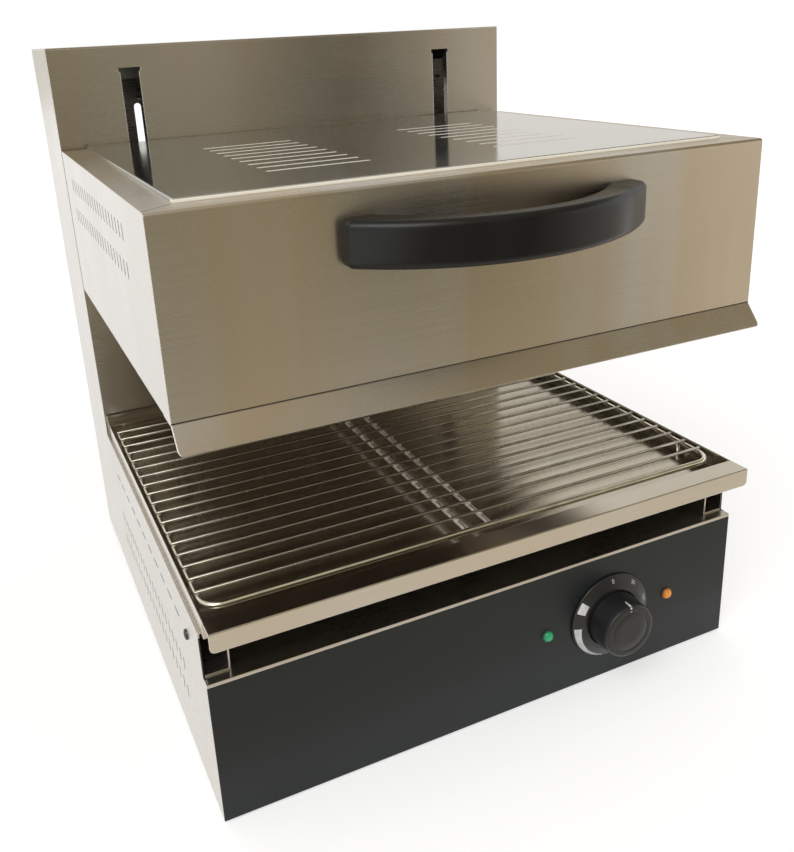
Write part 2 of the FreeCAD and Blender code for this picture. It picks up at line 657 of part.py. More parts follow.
def base_deck():
    """The cabinet top, with a narrow bright edge that shows above the control panel."""
    top = block("deck_top", ("-inner_half", "inner_half"), ("front_inside", "tower_front"),
                ("deck_level - panel_gauge", "deck_level"))
    edge = block("deck_edge", ("-half_width", "half_width"), ("base_front", "front_inside"),
                 ("panel_top", "deck_level"))
    return node("base_deck", fuse("base_deck", [top, edge]))


def control_panel():
    body = start_body("control_panel")
    outline = rectangle(("-half_width", "half_width"), ("foot_height", "panel_top"))
    holes = [
        ("knob_offset", "control_level", "spindle_hole"),
        ("knob_offset - lamp_spread", "control_level", "lamp_radius"),
        ("knob_offset + lamp_spread", "control_level", "lamp_radius"),
    ]
    pad(body, "control_panel_sheet", "y", ("base_front", "front_inside"), [outline], circles=holes)
    return node("control_panel", body)


def feet():
    pads = [
        bar(f"foot_{x_side}_{y_name}", "foot_radius", "z", (0, "foot_height"),
            (f"{side} * (half_width - foot_inset)", y))
        for x_side, side in LEFT_RIGHT
        for y_name, y in (("front", "base_front + foot_inset"), ("rear", "base_back - foot_inset"))
    ]
    return node("feet", gather("feet", pads))


def side_screws():
    pieces = [
        screw("side_screw_" + label, "x", f"{side} * half_width", SIDE_SCREW, "screw_length", side)
        for label, side in LEFT_RIGHT
    ]
    return node("side_screws", gather("side_screws", pieces))


# Controls
def dial_ring():
    """The fixed scale ring round the knob."""
    inner = "knob_radius + run_gap"
    profile = [
        (inner, 0),
        ("dial_radius", 0),
        ("dial_radius", "-dial_rim"),
        ("dial_radius - dial_slope", "-dial_height"),
        (inner, "-dial_height"),
    ]
    return node("dial_ring", turned("dial_ring", profile, ("knob_offset", "base_front", "control_level")))


def thermostat_knob():
    """A slightly tapered knob with a pointer groove near the top of its face."""
    profile = [
        ("spindle_radius", "-run_gap"),
        ("knob_radius", "-run_gap"),
        ("knob_radius - knob_taper", "-knob_height"),
        (0, "-knob_height"),
        (0, "-spindle_seat"),
        ("spindle_radius", "-spindle_seat"),
    ]
    body = turned("thermostat_knob", profile, ("knob_offset", "base_front", "control_level"))
    round_edges(body, "knob_face_edge", "knob_edge", [{"y": "-knob_height"}])
    tip = "knob_radius - knob_taper - 2 * knob_edge"
    groove = rectangle(("-pointer_width / 2", "pointer_width / 2"), (tip + " - pointer_length", tip))
    depth = ("-knob_height - overrun", "pointer_depth - knob_height")
    pocket(body, "pointer_groove", "y", depth, [groove])
    return node("thermostat_knob", body)


def knob_shaft():
    limits = ("spindle_front", "front_inside + spindle_depth - run_gap")
    shaft = bar("knob_shaft", "spindle_radius", "y", limits, ("knob_offset", "control_level"))
    return node("knob_shaft", shaft)


def heat_regulator():
    """The regulator body on the back of the panel, with three connection tabs."""
    body = block("regulator_body",
                 ("knob_offset - regulator_width / 2", "knob_offset + regulator_width / 2"),
                 ("front_inside", "regulator_back"),
                 ("control_level - regulator_width / 2", "control_level + regulator_width / 2"))
    tabs = []
    for index in (-1, 0, 1):
        level = f"control_level + {index} * tab_spread"
        tabs.append(block(f"regulator_tab_{index + 2}",
                          ("knob_offset - tab_width / 2", "knob_offset + tab_width / 2"),
                          ("regulator_back", "regulator_back + tab_length"),
                          (f"{level} - tab_gauge / 2", f"{level} + tab_gauge / 2")))
    bore = bar("regulator_bore", "spindle_radius + bore_gap", "y",
               ("front_inside - overrun", "front_inside + spindle_depth"), ("knob_offset", "control_level"))
    return node("heat_regulator", cut("heat_regulator", fuse("regulator_solid", [body] + tabs), [bore]))


def pilot_light(colour, side):
    """A domed lens whose wider body sits behind the panel."""
    name = "pilot_light_" + colour
    profile = [
        (0, "-lamp_dome"),
        ("lamp_radius", "-lamp_dome"),
        ("lamp_radius", "panel_gauge"),
        ("lamp_radius + lamp_collar", "panel_gauge"),
        ("lamp_radius + lamp_collar", "lamp_length"),
        (0, "lamp_length"),
    ]
    body = turned(name, profile, (f"knob_offset + {side} * lamp_spread", "base_front", "control_level"))
    round_edges(body, name + "_dome", "0.9 * lamp_dome", [{"y": "-lamp_dome"}])
    return node(name, body)


def terminal_block():
    """The block on the cabinet floor where the supply is joined, with its row of wire entries."""
    front = "cover_face - block_gap - block_depth"
    solid = block("terminal_solid", ("gland_offset - block_width / 2", "gland_offset + block_width / 2"),
                  (front, "cover_face - block_gap"), ("floor_top", "floor_top + block_height"))
    entries = []
    for index in range(int(size("wire_count"))):
        middle = f"gland_offset + ({index} - (wire_count - 1) / 2) * wire_pitch"
        entries.append(block(f"wire_entry_{index + 1}",
                             (f"{middle} - wire_entry / 2", f"{middle} + wire_entry / 2"),
                             (f"{front} - overrun", f"{front} + wire_entry"),
                             ("floor_top + wire_entry", "floor_top + 2 * wire_entry")))
    return node("terminal_block", cut("terminal_block", solid, entries))


def cable_gland():
    """The gland in the rear cover, drawn from the cover face outward."""
    profile = [
        ("gland_bore", "-panel_gauge - gland_nut"),
        ("gland_radius", "-panel_gauge - gland_nut"),
        ("gland_radius", "-panel_gauge"),
        ("gland_stem", "-panel_gauge"),
        ("gland_stem", 0),
        ("gland_radius", 0),
        ("gland_radius", "gland_nut"),
        ("gland_stem", "gland_reach"),
        ("gland_bore", "gland_reach"),
    ]
    return node("cable_gland", turned("cable_gland", profile, ("gland_offset", "base_back", "gland_level")))


# Tower
def tower_front_panel():
    """The tower face with its two lift slots, whose long edges are folded inward."""
    body = start_body("tower_front_panel")
    outline = [
        ("-half_width", "runner_level"),
        ("-inner_half", "runner_level"),
        ("-inner_half", "deck_level"),
        ("inner_half", "deck_level"),
        ("inner_half", "runner_level"),
        ("half_width", "runner_level"),
        ("half_width", "roof_level"),
        ("-half_width", "roof_level"),
    ]
    near = "slot_offset - slot_width / 2"
    far = "slot_offset + slot_width / 2"
    shoulder = "slot_top - notch_height"
    slot = [
        (near, "slot_bottom"),
        (far, "slot_bottom"),
        (far, shoulder),
        (far + " + notch_extra", shoulder),
        (far + " + notch_extra", "slot_top"),
        (near + " - notch_extra", "slot_top"),
        (near + " - notch_extra", shoulder),
        (near, shoulder),
    ]
    slots = [[(f"{side} * ({x})", z) for x, z in slot] for label, side in LEFT_RIGHT]
    pad(body, "tower_front_sheet", "y", ("tower_front", "tower_inside"), [outline] + slots)
    folds = []
    for label, side in LEFT_RIGHT:
        for low, high in ((near + " - panel_gauge", near), (far, far + " + panel_gauge")):
            folds.append(rectangle(span(side, low, high), ("slot_bottom", shoulder)))
    pad(body, "slot_folds", "y", ("tower_front", "tower_front + slot_fold"), folds)
    return node("tower_front_panel", body)


def tower_cap():
    """The tower roof, with a flange inside the walls."""
    top = block("cap_top", ("-half_width", "half_width"), ("tower_front", "base_back"),
                ("roof_level", "tower_height"))
    flange = block("cap_flange_outer", ("-inner_half", "inner_half"), ("tower_inside", "cover_face"),
                   ("roof_level - cap_flange", "roof_level"))
    inner = block("cap_flange_inner", ("panel_gauge - inner_half", "inner_half - panel_gauge"),
                  ("tower_inside + panel_gauge", "cover_face - panel_gauge"),
                  ("roof_level - cap_flange - overrun", "roof_level"))
    return node("tower_cap", cut("tower_cap", fuse("cap_solid", [top, flange]), [inner]))


def rear_cover():
    """The removable back, with a row of round ended vents and the gland hole."""
    body = start_body("rear_cover")
    outline = rectangle(("-half_width", "half_width"), ("foot_height", "roof_level"))
    holes = [("gland_offset", "gland_level", "gland_stem")]
    holes += [(x, z, "screw_shank") for side, x, z in REAR_SCREWS]
    pad(body, "rear_cover_sheet", "y", ("cover_face", "base_back"), [outline], circles=holes)
    through = ("cover_face - overrun", "base_back + overrun")
    first = "-(rear_vent_count - 1) / 2 * rear_vent_pitch"
    radius = "rear_vent_width / 2"
    low = "rear_vent_level + " + radius
    high = "rear_vent_level + rear_vent_height - " + radius
    middle = pocket(body, "rear_vent_middle", "y", through,
                    [rectangle((f"{first} - {radius}", f"{first} + {radius}"), (low, high))])
    ends = pocket(body, "rear_vent_ends", "y", through, circles=[(first, low, radius), (first, high, radius)])
    repeat(body, "rear_vent_row", [middle, ends], "X_Axis", "rear_vent_pitch", "rear_vent_count")
    return node("rear_cover", body)


def rear_cover_screws():
    pieces = [
        screw(f"rear_screw_{number}", "y", "base_back", (x, z), "screw_length", 1)
        for number, (side, x, z) in enumerate(REAR_SCREWS, start=1)
    ]
    return node("rear_cover_screws", gather("rear_cover_screws", pieces))


# Lift, on the tower
def guide_rail(label, side):
    """A channel, open towards the centre plane, in which two rollers run."""
    body = start_body("guide_rail_" + label)
    outline = [
        ("rail_web", "rail_front"),
        ("rail_flange", "rail_front"),
        ("rail_flange", "rail_front + rail_gauge"),
        ("rail_web - rail_gauge", "rail_front + rail_gauge"),
        ("rail_web - rail_gauge", "rail_back - rail_gauge"),
        ("rail_flange", "rail_back - rail_gauge"),
        ("rail_flange", "rail_back"),
        ("rail_web", "rail_back"),
    ]
    corners = [(f"{side} * ({x})", y) for x, y in outline]
    pad(body, f"guide_rail_{label}_channel", "z", ("rail_bottom", "rail_top"), [corners])
    return node("guide_rail_" + label, body)


def rail_bridge(label, low):
    """A bar across the backs of the rails, fixed to both tower sides."""
    name = "rail_bridge_" + label
    return node(name, block(name, ("-inner_half", "inner_half"), ("rail_back", "bridge_back"),
                            (low, low + " + bridge_height")))


def shaft_bearings():
    """Four blocks on the bridges, each with the bore of a chain shaft."""
    wall = "(shaft_radius + bearing_wall)"
    reaches = {
        "upper": ("shaft_upper", ("shaft_upper - " + wall, "rail_top")),
        "lower": ("shaft_lower", ("rail_bottom", "shaft_lower + " + wall)),
    }
    pieces = []
    for level_name, (level, zs) in reaches.items():
        for label, side in LEFT_RIGHT:
            name = f"bearing_{level_name}_{label}"
            xs = span(side, "bearing_offset - bearing_width / 2", "bearing_offset + bearing_width / 2")
            solid = block(name + "_solid", xs, ("bridge_back", "shaft_axis + " + wall), zs)
            bore = bar(name + "_bore", "shaft_radius + bore_gap", "x",
                       (xs[0] + " - overrun", xs[1] + " + overrun"), ("shaft_axis", level))
            pieces.append(cut(name, solid, [bore]))
    return node("shaft_bearings", gather("shaft_bearings", pieces))


def track(name, radius, xs):
    """A solid with two straight runs and two round ends, about both shafts."""
    ys = (f"shaft_axis - ({radius})", f"shaft_axis + ({radius})")
    pieces = [block(name + "_runs", xs, ys, ("shaft_lower", "shaft_upper"))]
    for level in ("shaft_lower", "shaft_upper"):
        pieces.append(bar(f"{name}_{level}", radius, "x", xs, ("shaft_axis", level)))
    return fuse(name, pieces)


def lift_chain(label, side):
    """A closed loop of chain round an upper and a lower wheel."""
    name = "lift_chain_" + label
    xs = span(side, "wheel_offset - chain_width / 2", "wheel_offset + chain_width / 2")
    inner_xs = (xs[0] + " - overrun", xs[1] + " + overrun")
    outer = track(name + "_outer", "chain_outer", xs)
    inner = track(name + "_inner", "chain_inner", inner_xs)
    return node(name, cut(name, outer, [inner]))


def travel_stops():
    """Blocks in the rails that end the hood's travel."""
    top = "roller_upper + travel_up + roller_radius + stop_gap"
    bottom = "roller_lower - travel_down - roller_radius - stop_gap"
    pieces = []
    for label, side in LEFT_RIGHT:
        for level_name, zs in (("upper", (top, top + " + stop_height")),
                               ("lower", (bottom + " - stop_height", bottom))):
            pieces.append(block(f"stop_{level_name}_{label}",
                                span(side, "roller_face", "rail_web - rail_gauge"),
                                ("rail_axis - rail_half", "rail_axis + rail_half"), zs))
    return node("travel_stops", gather("travel_stops", pieces))


def chain_shaft(label):
    name = label + "_shaft"
    return node(name, bar(name, "shaft_radius", "x", ("-shaft_half", "shaft_half"),
                          ("shaft_axis", "shaft_" + label)))


def chain_wheels(label):
    """The two wheels of one shaft, each with its hub."""
    pieces = []
    for side_name, side in LEFT_RIGHT:
        name = f"{label}_wheel_{side_name}"
        across = ("shaft_axis", "shaft_" + label)
        rim = span(side, "wheel_offset - wheel_width / 2", "wheel_offset + wheel_width / 2")
        hub = span(side, "wheel_offset - hub_width / 2", "wheel_offset + hub_width / 2")
        solid = fuse(name + "_solid", [bar(name + "_rim", "wheel_radius", "x", rim, across),
                                       bar(name + "_hub", "hub_radius", "x", hub, across)])
        pieces.append(cut(name, solid, [bar(name + "_bore", "shaft_radius", "x", hub, across)]))
    return node(label + "_sprockets", gather(label + "_sprockets", pieces))


def counterweight():
    """A steel bar with an open channel for the rear run of each chain."""
    solid = block("weight_solid", ("-weight_half", "weight_half"), ("weight_front", "weight_back"),
                  ("weight_level", "weight_level + weight_height"))
    channels = [
        block("weight_channel_" + label,
              span(side, "wheel_offset - weight_slot / 2", "wheel_offset + weight_slot / 2"),
              ("weight_front - overrun", "weight_front + weight_slot"),
              ("weight_level - overrun", "weight_level + weight_height + overrun"))
        for label, side in LEFT_RIGHT
    ]
    return node("counterweight", cut("counterweight", solid, channels))


def weight_clamps():
    """Plates across the channels, each with a tongue that reaches the chain."""
    pieces = []
    zs = ("weight_middle - clamp_height / 2", "weight_middle + clamp_height / 2")
    for label, side in LEFT_RIGHT:
        name = "weight_clamp_" + label
        half = "(weight_slot + clamp_width / 2) / 2"
        plate = block(name + "_plate", span(side, f"wheel_offset - {half}", f"wheel_offset + {half}"),
                      ("weight_front - clamp_plate", "weight_front"), zs)
        tongue = block(name + "_tongue",
                       span(side, "wheel_offset - chain_width / 2", "wheel_offset + chain_width / 2"),
                       ("weight_front", "shaft_axis + chain_inner - run_gap"), zs)
        pieces.append(fuse(name, [plate, tongue]))
    return node("weight_clamps", gather("weight_clamps", pieces))


# Lift, on the hood
ARM_BOLTS = [
    (side, f"{side} * (slot_offset + {inner} * arm_bolt_side)", f"arm_middle + {up} * arm_bolt_spread / 2")
    for label, side in LEFT_RIGHT
    for inner in (-1, 1)
    for up in (-1, 1)
]


def bolt_holes(name, ys, side=0):
    """Cutters for the arm bolts of one side, or of both."""
    return [
        bar(f"{name}_{number}", "screw_shank", "y", ys, (x, z))
        for number, (own, x, z) in enumerate(ARM_BOLTS, start=1)
        if side in (0, own)
    ]


def lift_arm(label, side):
    """An upright plate through the tower slot, with a flange on the back of the hood."""
    name = "lift_arm_" + label
    zs = ("arm_level", "arm_level + arm_height")
    plate = block(name + "_plate", span(side, "slot_offset - arm_gauge / 2", "slot_offset + arm_gauge / 2"),
                  ("hood_back", "carriage_front"), zs)
    flange = block(name + "_flange",
                   span(side, "slot_offset - arm_flange / 2", "slot_offset + arm_flange / 2"),
                   ("hood_back", "hood_back + arm_flange_gauge"), zs)
    through = ("hood_back - overrun", "hood_back + arm_flange_gauge + overrun")
    holes = bolt_holes(name + "_hole", through, side)
    return node(name, cut(name, fuse(name + "_solid", [plate, flange]), holes))


def arm_bolts():
    pieces = [
        screw(f"arm_bolt_{number}", "y", "hood_back + arm_flange_gauge", (x, z),
              "arm_flange_gauge + hood_gauge", 1)
        for number, (side, x, z) in enumerate(ARM_BOLTS, start=1)
    ]
    return node("arm_bolts", gather("arm_bolts", pieces))


def carriage_plate():
    """A plate behind the tower face, with an ear at each end for the roller pins."""
    body = start_body("carriage_plate")
    ear = "carriage_front + carriage_ear"
    inside = "carriage_half - carriage_gauge"
    outline = [
        ("-carriage_half", "carriage_front"),
        ("carriage_half", "carriage_front"),
        ("carriage_half", ear),
        (inside, ear),
        (inside, "carriage_back"),
        (f"-({inside})", "carriage_back"),
        (f"-({inside})", ear),
        ("-carriage_half", ear),
    ]
    pad(body, "carriage_sheet", "z", ("carriage_low", "carriage_low + carriage_height"), [outline])
    holes = [("rail_axis", level, "pin_radius") for level in ("roller_lower", "roller_upper")]
    pocket(body, "pin_holes", "x", ("-carriage_half - overrun", "carriage_half + overrun"), circles=holes)
    return node("carriage_plate", body)


def roller_pins():
    """Collared pins through the ears, each with a roller on its outer end."""
    inside = "carriage_half - carriage_gauge"
    pieces = []
    for label, side in LEFT_RIGHT:
        for level in ("roller_lower", "roller_upper"):
            name = f"pin_{label}_{level}"
            across = ("rail_axis", level)
            last = "roller_end + run_gap"
            collars = (
                (inside + " - pin_clip", inside),
                ("carriage_half", "roller_face - run_gap"),
                (last, last + " + pin_clip"),
            )
            parts = [bar(name + "_core", "pin_radius", "x",
                         span(side, inside + " - pin_clip", last + " + pin_clip"), across)]
            for number, limits in enumerate(collars, start=1):
                parts.append(bar(f"{name}_collar_{number}", "pin_radius + pin_collar", "x",
                                 span(side, *limits), across))
            pieces.append(fuse(name, parts))
    return node("roller_pins", gather("roller_pins", pieces))


def rollers(label):
    pieces = []
    across = ("rail_axis", "roller_" + label)
    for side_name, side in LEFT_RIGHT:
        name = f"{label}_roller_{side_name}"
        xs = span(side, "roller_face", "roller_end")
        solid = bar(name + "_solid", "roller_radius", "x", xs, across)
        bore = bar(name + "_bore", "pin_radius + bore_gap", "x",
                   (xs[0] + " - overrun", xs[1] + " + overrun"), across)
        pieces.append(cut(name, solid, [bore]))
    return node(label + "_rollers", gather(label + "_rollers", pieces))


def chain_clamps():
    """Blocks on the carriage that reach back to the front run of each chain."""
    pieces = [
        block("chain_clamp_" + label,
              span(side, "wheel_offset - clamp_width / 2", "wheel_offset + clamp_width / 2"),
              ("carriage_back", "shaft_axis - chain_outer - run_gap"),
              ("carriage_middle - clamp_height / 2", "carriage_middle + clamp_height / 2"))
        for label, side in LEFT_RIGHT
    ]
    return node("chain_clamps", gather("chain_clamps", pieces))


# Hood
HANDLE_SCREWS = [(f"{side} * handle_screw_side", "handle_level") for label, side in LEFT_RIGHT]


def hood_shell():
    """Front, sides and the flanges round the top and the bottom, bent from one sheet."""
    body = start_body("hood_shell")
    pad(body, "hood_block", "z", ("hood_level", "hood_top"),
        [rectangle(("-half_width", "half_width"), ("base_front", "hood_back"))])
    pocket(body, "hood_cavity", "y", ("base_front + hood_gauge", "hood_back + overrun"),
           [rectangle(("-hood_half", "hood_half"), ("hood_level + hood_gauge", "hood_top - hood_gauge"))])
    round_edges(body, "hood_inner_bend", "hood_bend - hood_gauge",
                [{"y": "base_front + hood_gauge", "z": "hood_top - hood_gauge"}])
    round_edges(body, "hood_outer_bend", "hood_bend", [{"y": "base_front", "z": "hood_top"}])
    pocket(body, "hood_top_opening", "z", ("hood_top - hood_gauge - overrun", "hood_top + overrun"),
           [rectangle(("-opening_half", "opening_half"),
                      ("base_front + hood_flange", "hood_back + overrun"))])
    pocket(body, "hood_mouth", "z", ("hood_level - overrun", "hood_level + hood_gauge + overrun"),
           [rectangle(("reflector_west + reflector_lap", "reflector_east - reflector_lap"),
                      ("reflector_south + reflector_lap", "hood_back + overrun"))])
    first = "base_front + hood_vent_start"
    rows = [
        rectangle((first, first + " + vent_width"), (low, low + " + vent_height"))
        for low in ("hood_top - hood_vent_drop", "hood_top - hood_vent_drop - vent_rise")
    ]
    vents = pocket(body, "hood_vents", "x", ("-half_width - overrun", "half_width + overrun"), rows)
    repeat(body, "hood_vent_row", [vents], "Y_Axis", "hood_vent_pitch", "hood_vent_count")
    pocket(body, "handle_holes", "y", ("base_front - overrun", "base_front + hood_gauge + overrun"),
           circles=[place + ("screw_shank",) for place in HANDLE_SCREWS])
    return node("hood_shell", body)


def hood_cover():
    """The raised top plate with bent edges and two groups of cross slots."""
    body = start_body("hood_cover")
    top = "hood_top + cover_rim"
    front = "base_front + cover_margin"
    pad(body, "cover_block", "z", ("hood_top", top),
        [rectangle(("-cover_half", "cover_half"), (front, "hood_back"))])
    round_edges(body, "cover_bend", "hood_gauge",
                [{"z": top, "y": front}, {"z": top, "x": "-cover_half"}, {"z": top, "x": "cover_half"}])
    pocket(body, "cover_underside", "z", ("hood_top - overrun", top + " - hood_gauge"),
           [rectangle(("hood_gauge - cover_half", "cover_half - hood_gauge"),
                      (front + " + hood_gauge", "hood_back - hood_gauge"))])
    through = ("hood_top - overrun", top + " + overrun")
    radius = "grille_width / 2"
    across = "base_front + grille_start"
    slots = []
    ends = []
    for label, side in LEFT_RIGHT:
        low = f"{side} * grille_offset - grille_length / 2 + {radius}"
        high = f"{side} * grille_offset + grille_length / 2 - {radius}"
        slots.append(rectangle((low, high), (f"{across} - {radius}", f"{across} + {radius}")))
        ends += [(low, across, radius), (high, across, radius)]
    middles = pocket(body, "grille_slots", "z", through, slots)
    rounds = pocket(body, "grille_ends", "z", through, circles=ends)
    repeat(body, "grille_rows", [middles, rounds], "Y_Axis", "grille_pitch", "grille_count")
    return node("hood_cover", body)


def hood_rear_panel():
    """The hood back, with a flange under the cover and one under the reflector."""
    plate = block("rear_panel_plate", ("-hood_half", "hood_half"),
                  ("hood_back - hood_gauge", "hood_back"),
                  ("hood_level + hood_gauge", "hood_top - hood_gauge"))
    upper = block("rear_panel_upper", ("-opening_half", "opening_half"),
                  ("hood_back - hood_flange", "hood_back"), ("hood_top - hood_gauge", "hood_top"))
    lower = block("rear_panel_lower",
                  ("reflector_west + reflector_lap", "reflector_east - reflector_lap"),
                  ("reflector_north - reflector_lap", "hood_back"),
                  ("hood_level", "hood_level + hood_gauge"))
    holes = bolt_holes("rear_panel_hole",
                       ("hood_back - hood_gauge - overrun", "hood_back + overrun"))
    solid = fuse("rear_panel_solid", [plate, upper, lower])
    return node("hood_rear_panel", cut("hood_rear_panel", solid, holes))


def deflector_lip():
    """A strip under the hood front, bent down and forward, with rounded lower corners."""
    body = start_body("lip_strip_body")
    bottom = "hood_level - lip_drop"
    upper = "hood_level - hood_gauge"
    outline = [
        ("base_front + lip_tail", "hood_level"),
        ("base_front", "hood_level"),
        ("base_front - lip_reach", bottom),
        ("base_front - lip_reach + lip_run", bottom),
        ("base_front + lip_run - hood_gauge * lip_reach / lip_drop", upper),
        ("base_front + lip_tail", upper),
    ]
    pad(body, "lip_strip", "x", ("-half_width", "half_width"), [outline])
    ys = ("base_front - lip_reach - overrun", "base_front")
    corners = lower_corners("lip", "half_width", bottom, "lip_corner", ys)
    return node("deflector_lip", cut("lip", body, corners))


def handle():
    """A bow cut from two arcs, with straight sides at its ends, rounded edges and screw holes."""
    zs = ("handle_level - handle_height / 2", "handle_level + handle_height / 2")
    longer = (zs[0] + " - overrun", zs[1] + " + overrun")
    outer = bar("bow_outer", "bow_outer", "z", zs, (0, "base_front - handle_reach + bow_outer"))
    inner = bar("bow_inner", "bow_inner", "z", longer, (0, "base_front - bow_rise + bow_inner"))
    behind = block("bow_behind", ("-bow_outer - overrun", "bow_outer + overrun"),
                   ("base_front", "base_front + 2 * bow_outer"), longer)
    beside = [
        block("bow_beside_" + label, span(side, "handle_width / 2", "bow_outer + overrun"),
              ("base_front - handle_reach", "base_front + overrun"), longer)
        for label, side in LEFT_RIGHT
    ]
    body = start_body("handle", cut("bow", outer, [behind, inner] + beside))
    corners = [
        {"x": f"{side} * handle_width / 2", "y": "base_front - handle_end"}
        for label, side in LEFT_RIGHT
    ]
    round_edges(body, "handle_edges", "handle_round", [{"z": zs[0]}, {"z": zs[1]}] + corners,
                [{"y": "base_front"}])
    pocket(body, "handle_bores", "y", ("base_front - screw_length", "base_front + overrun"),
           circles=[place + ("screw_shank",) for place in HANDLE_SCREWS])
    return node("handle", body)


def handle_screws():
    pieces = [
        screw(f"handle_screw_{number}", "y", "base_front + hood_gauge", place, "hood_gauge + screw_length", 1)
        for number, place in enumerate(HANDLE_SCREWS, start=1)
    ]
    return node("handle_screws", gather("handle_screws", pieces))


ELEMENTS = (("front", -1), ("middle", 0), ("rear", 1))


def element_middle_line(step):
    return f"element_middle + {step} * element_pitch"


def element_legs():
    """The places of all six element legs."""
    return [
        (f"{name}_{number}", f"{element_middle_line(step)} + {side} * element_spread / 2")
        for name, step in ELEMENTS
        for number, side in enumerate((-1, 1), start=1)
    ]


def leg_holes(name, xs):
    return [
        bar(f"{name}_{leg}", "element_radius + element_gap", "x", xs, (y, "element_level"))
        for leg, y in element_legs()
    ]


def reflector():
    """An inverted pan over the elements, whose left side has a hole for each element leg."""
    outer = block("reflector_outer", ("reflector_west", "reflector_east"),
                  ("reflector_south", "reflector_north"), ("reflector_low", "reflector_top"))
    inner = block("reflector_inner",
                  ("reflector_west + reflector_gauge", "reflector_east - reflector_gauge"),
                  ("reflector_south + reflector_gauge", "reflector_north - reflector_gauge"),
                  ("reflector_low - overrun", "reflector_top - reflector_gauge"))
    holes = leg_holes("reflector_hole", ("reflector_west - overrun", "reflector_west + overrun"))
    return node("reflector", cut("reflector", cut("reflector_pan", outer, [inner]), holes))


def insulation():
    return node("insulation", block(
        "insulation",
        ("reflector_west + blanket_inset", "reflector_east - blanket_inset"),
        ("reflector_south + blanket_inset", "reflector_north - blanket_inset"),
        ("reflector_top", "reflector_top + blanket_thickness")))


def heating_element(label, step):
    """A hairpin: two legs from the left and a half ring at the right."""
    name = "heating_element_" + label
    middle = element_middle_line(step)
    legs = [
        bar(f"{name}_leg_{number}", "element_radius", "x", ("element_start", "element_end"),
            (f"{middle} + {side} * element_spread / 2", "element_level"))
        for number, side in enumerate((-1, 1), start=1)
    ]
    bend = doc.addObject("Part::Torus", name + "_bend")
    bend.Placement = FreeCAD.Placement(FreeCAD.Vector(), FreeCAD.Rotation(FreeCAD.Vector(0, 0, 1), -90))
    bend.Angle3 = 180
    bind(bend, "Radius1", "element_spread / 2")
    bind(bend, "Radius2", "element_radius")
    move(bend, ("element_end", middle, "element_level"))
    return node(name, fuse(name, legs + [bend]))


def element_brackets():
    """Two hangers under the reflector roof, bored for every leg."""
    roof = "reflector_top - reflector_gauge"
    pieces = []
    for label, side in LEFT_RIGHT:
        name = "element_bracket_" + label
        xs = span(side, "bracket_offset - bracket_gauge / 2", "bracket_offset + bracket_gauge / 2")
        plate = block(name + "_plate", xs,
                      ("reflector_south + blanket_inset", "reflector_north - blanket_inset"),
                      (roof + " - bracket_height", roof))
        holes = leg_holes(name + "_hole", (xs[0] + " - overrun", xs[1] + " + overrun"))
        pieces.append(cut(name, plate, holes))
    return node("element_brackets", gather("element_brackets", pieces))


def element_terminals():
    beads = [
        bar("bead_" + leg, "bead_radius", "x", ("element_start - bead_length", "element_start"),
            (y, "element_level"))
        for leg, y in element_legs()
    ]
    return node("element_terminals", gather("element_terminals", beads))


# Tray and rack
def crumb_tray():
    """A pan with a folded lip in front, a folded rim behind and a low upstand at the tower."""
    body = start_body("tray_body")
    full = ("-tray_half", "tray_half")
    past = ("-tray_half - overrun", "tray_half + overrun")
    pad(body, "tray_block", "z", ("tray_level", "tray_top"),
        [rectangle(full, ("tray_front", "tray_back"))])
    pad(body, "tray_back_edge", "z", ("tray_level", "tray_top + tray_upstand"),
        [rectangle(full, ("tray_back - tray_gauge", "tray_back"))])
    pocket(body, "tray_pan", "z", ("tray_floor", "tray_top + overrun"),
           [rectangle(("tray_gauge - tray_half", "tray_half - tray_gauge"),
                      ("tray_inner_front", "tray_inner_back"))])
    folds = [
        rectangle(past, ("tray_front + tray_gauge", "tray_inner_front - tray_gauge")),
        rectangle(past, ("tray_inner_back + tray_gauge", "tray_back - tray_gauge")),
    ]
    pocket(body, "tray_folds", "z", ("tray_level - overrun", "tray_top - tray_gauge"), folds)
    round_edges(body, "tray_lip_bend", "tray_bend", [{"y": "tray_front", "z": "tray_top"}])
    ys = ("tray_front - overrun", "tray_inner_front - 2 * tray_gauge")
    corners = lower_corners("tray", "tray_half", "tray_level", "tray_corner", ys)
    return node("crumb_tray", cut("tray", body, corners))


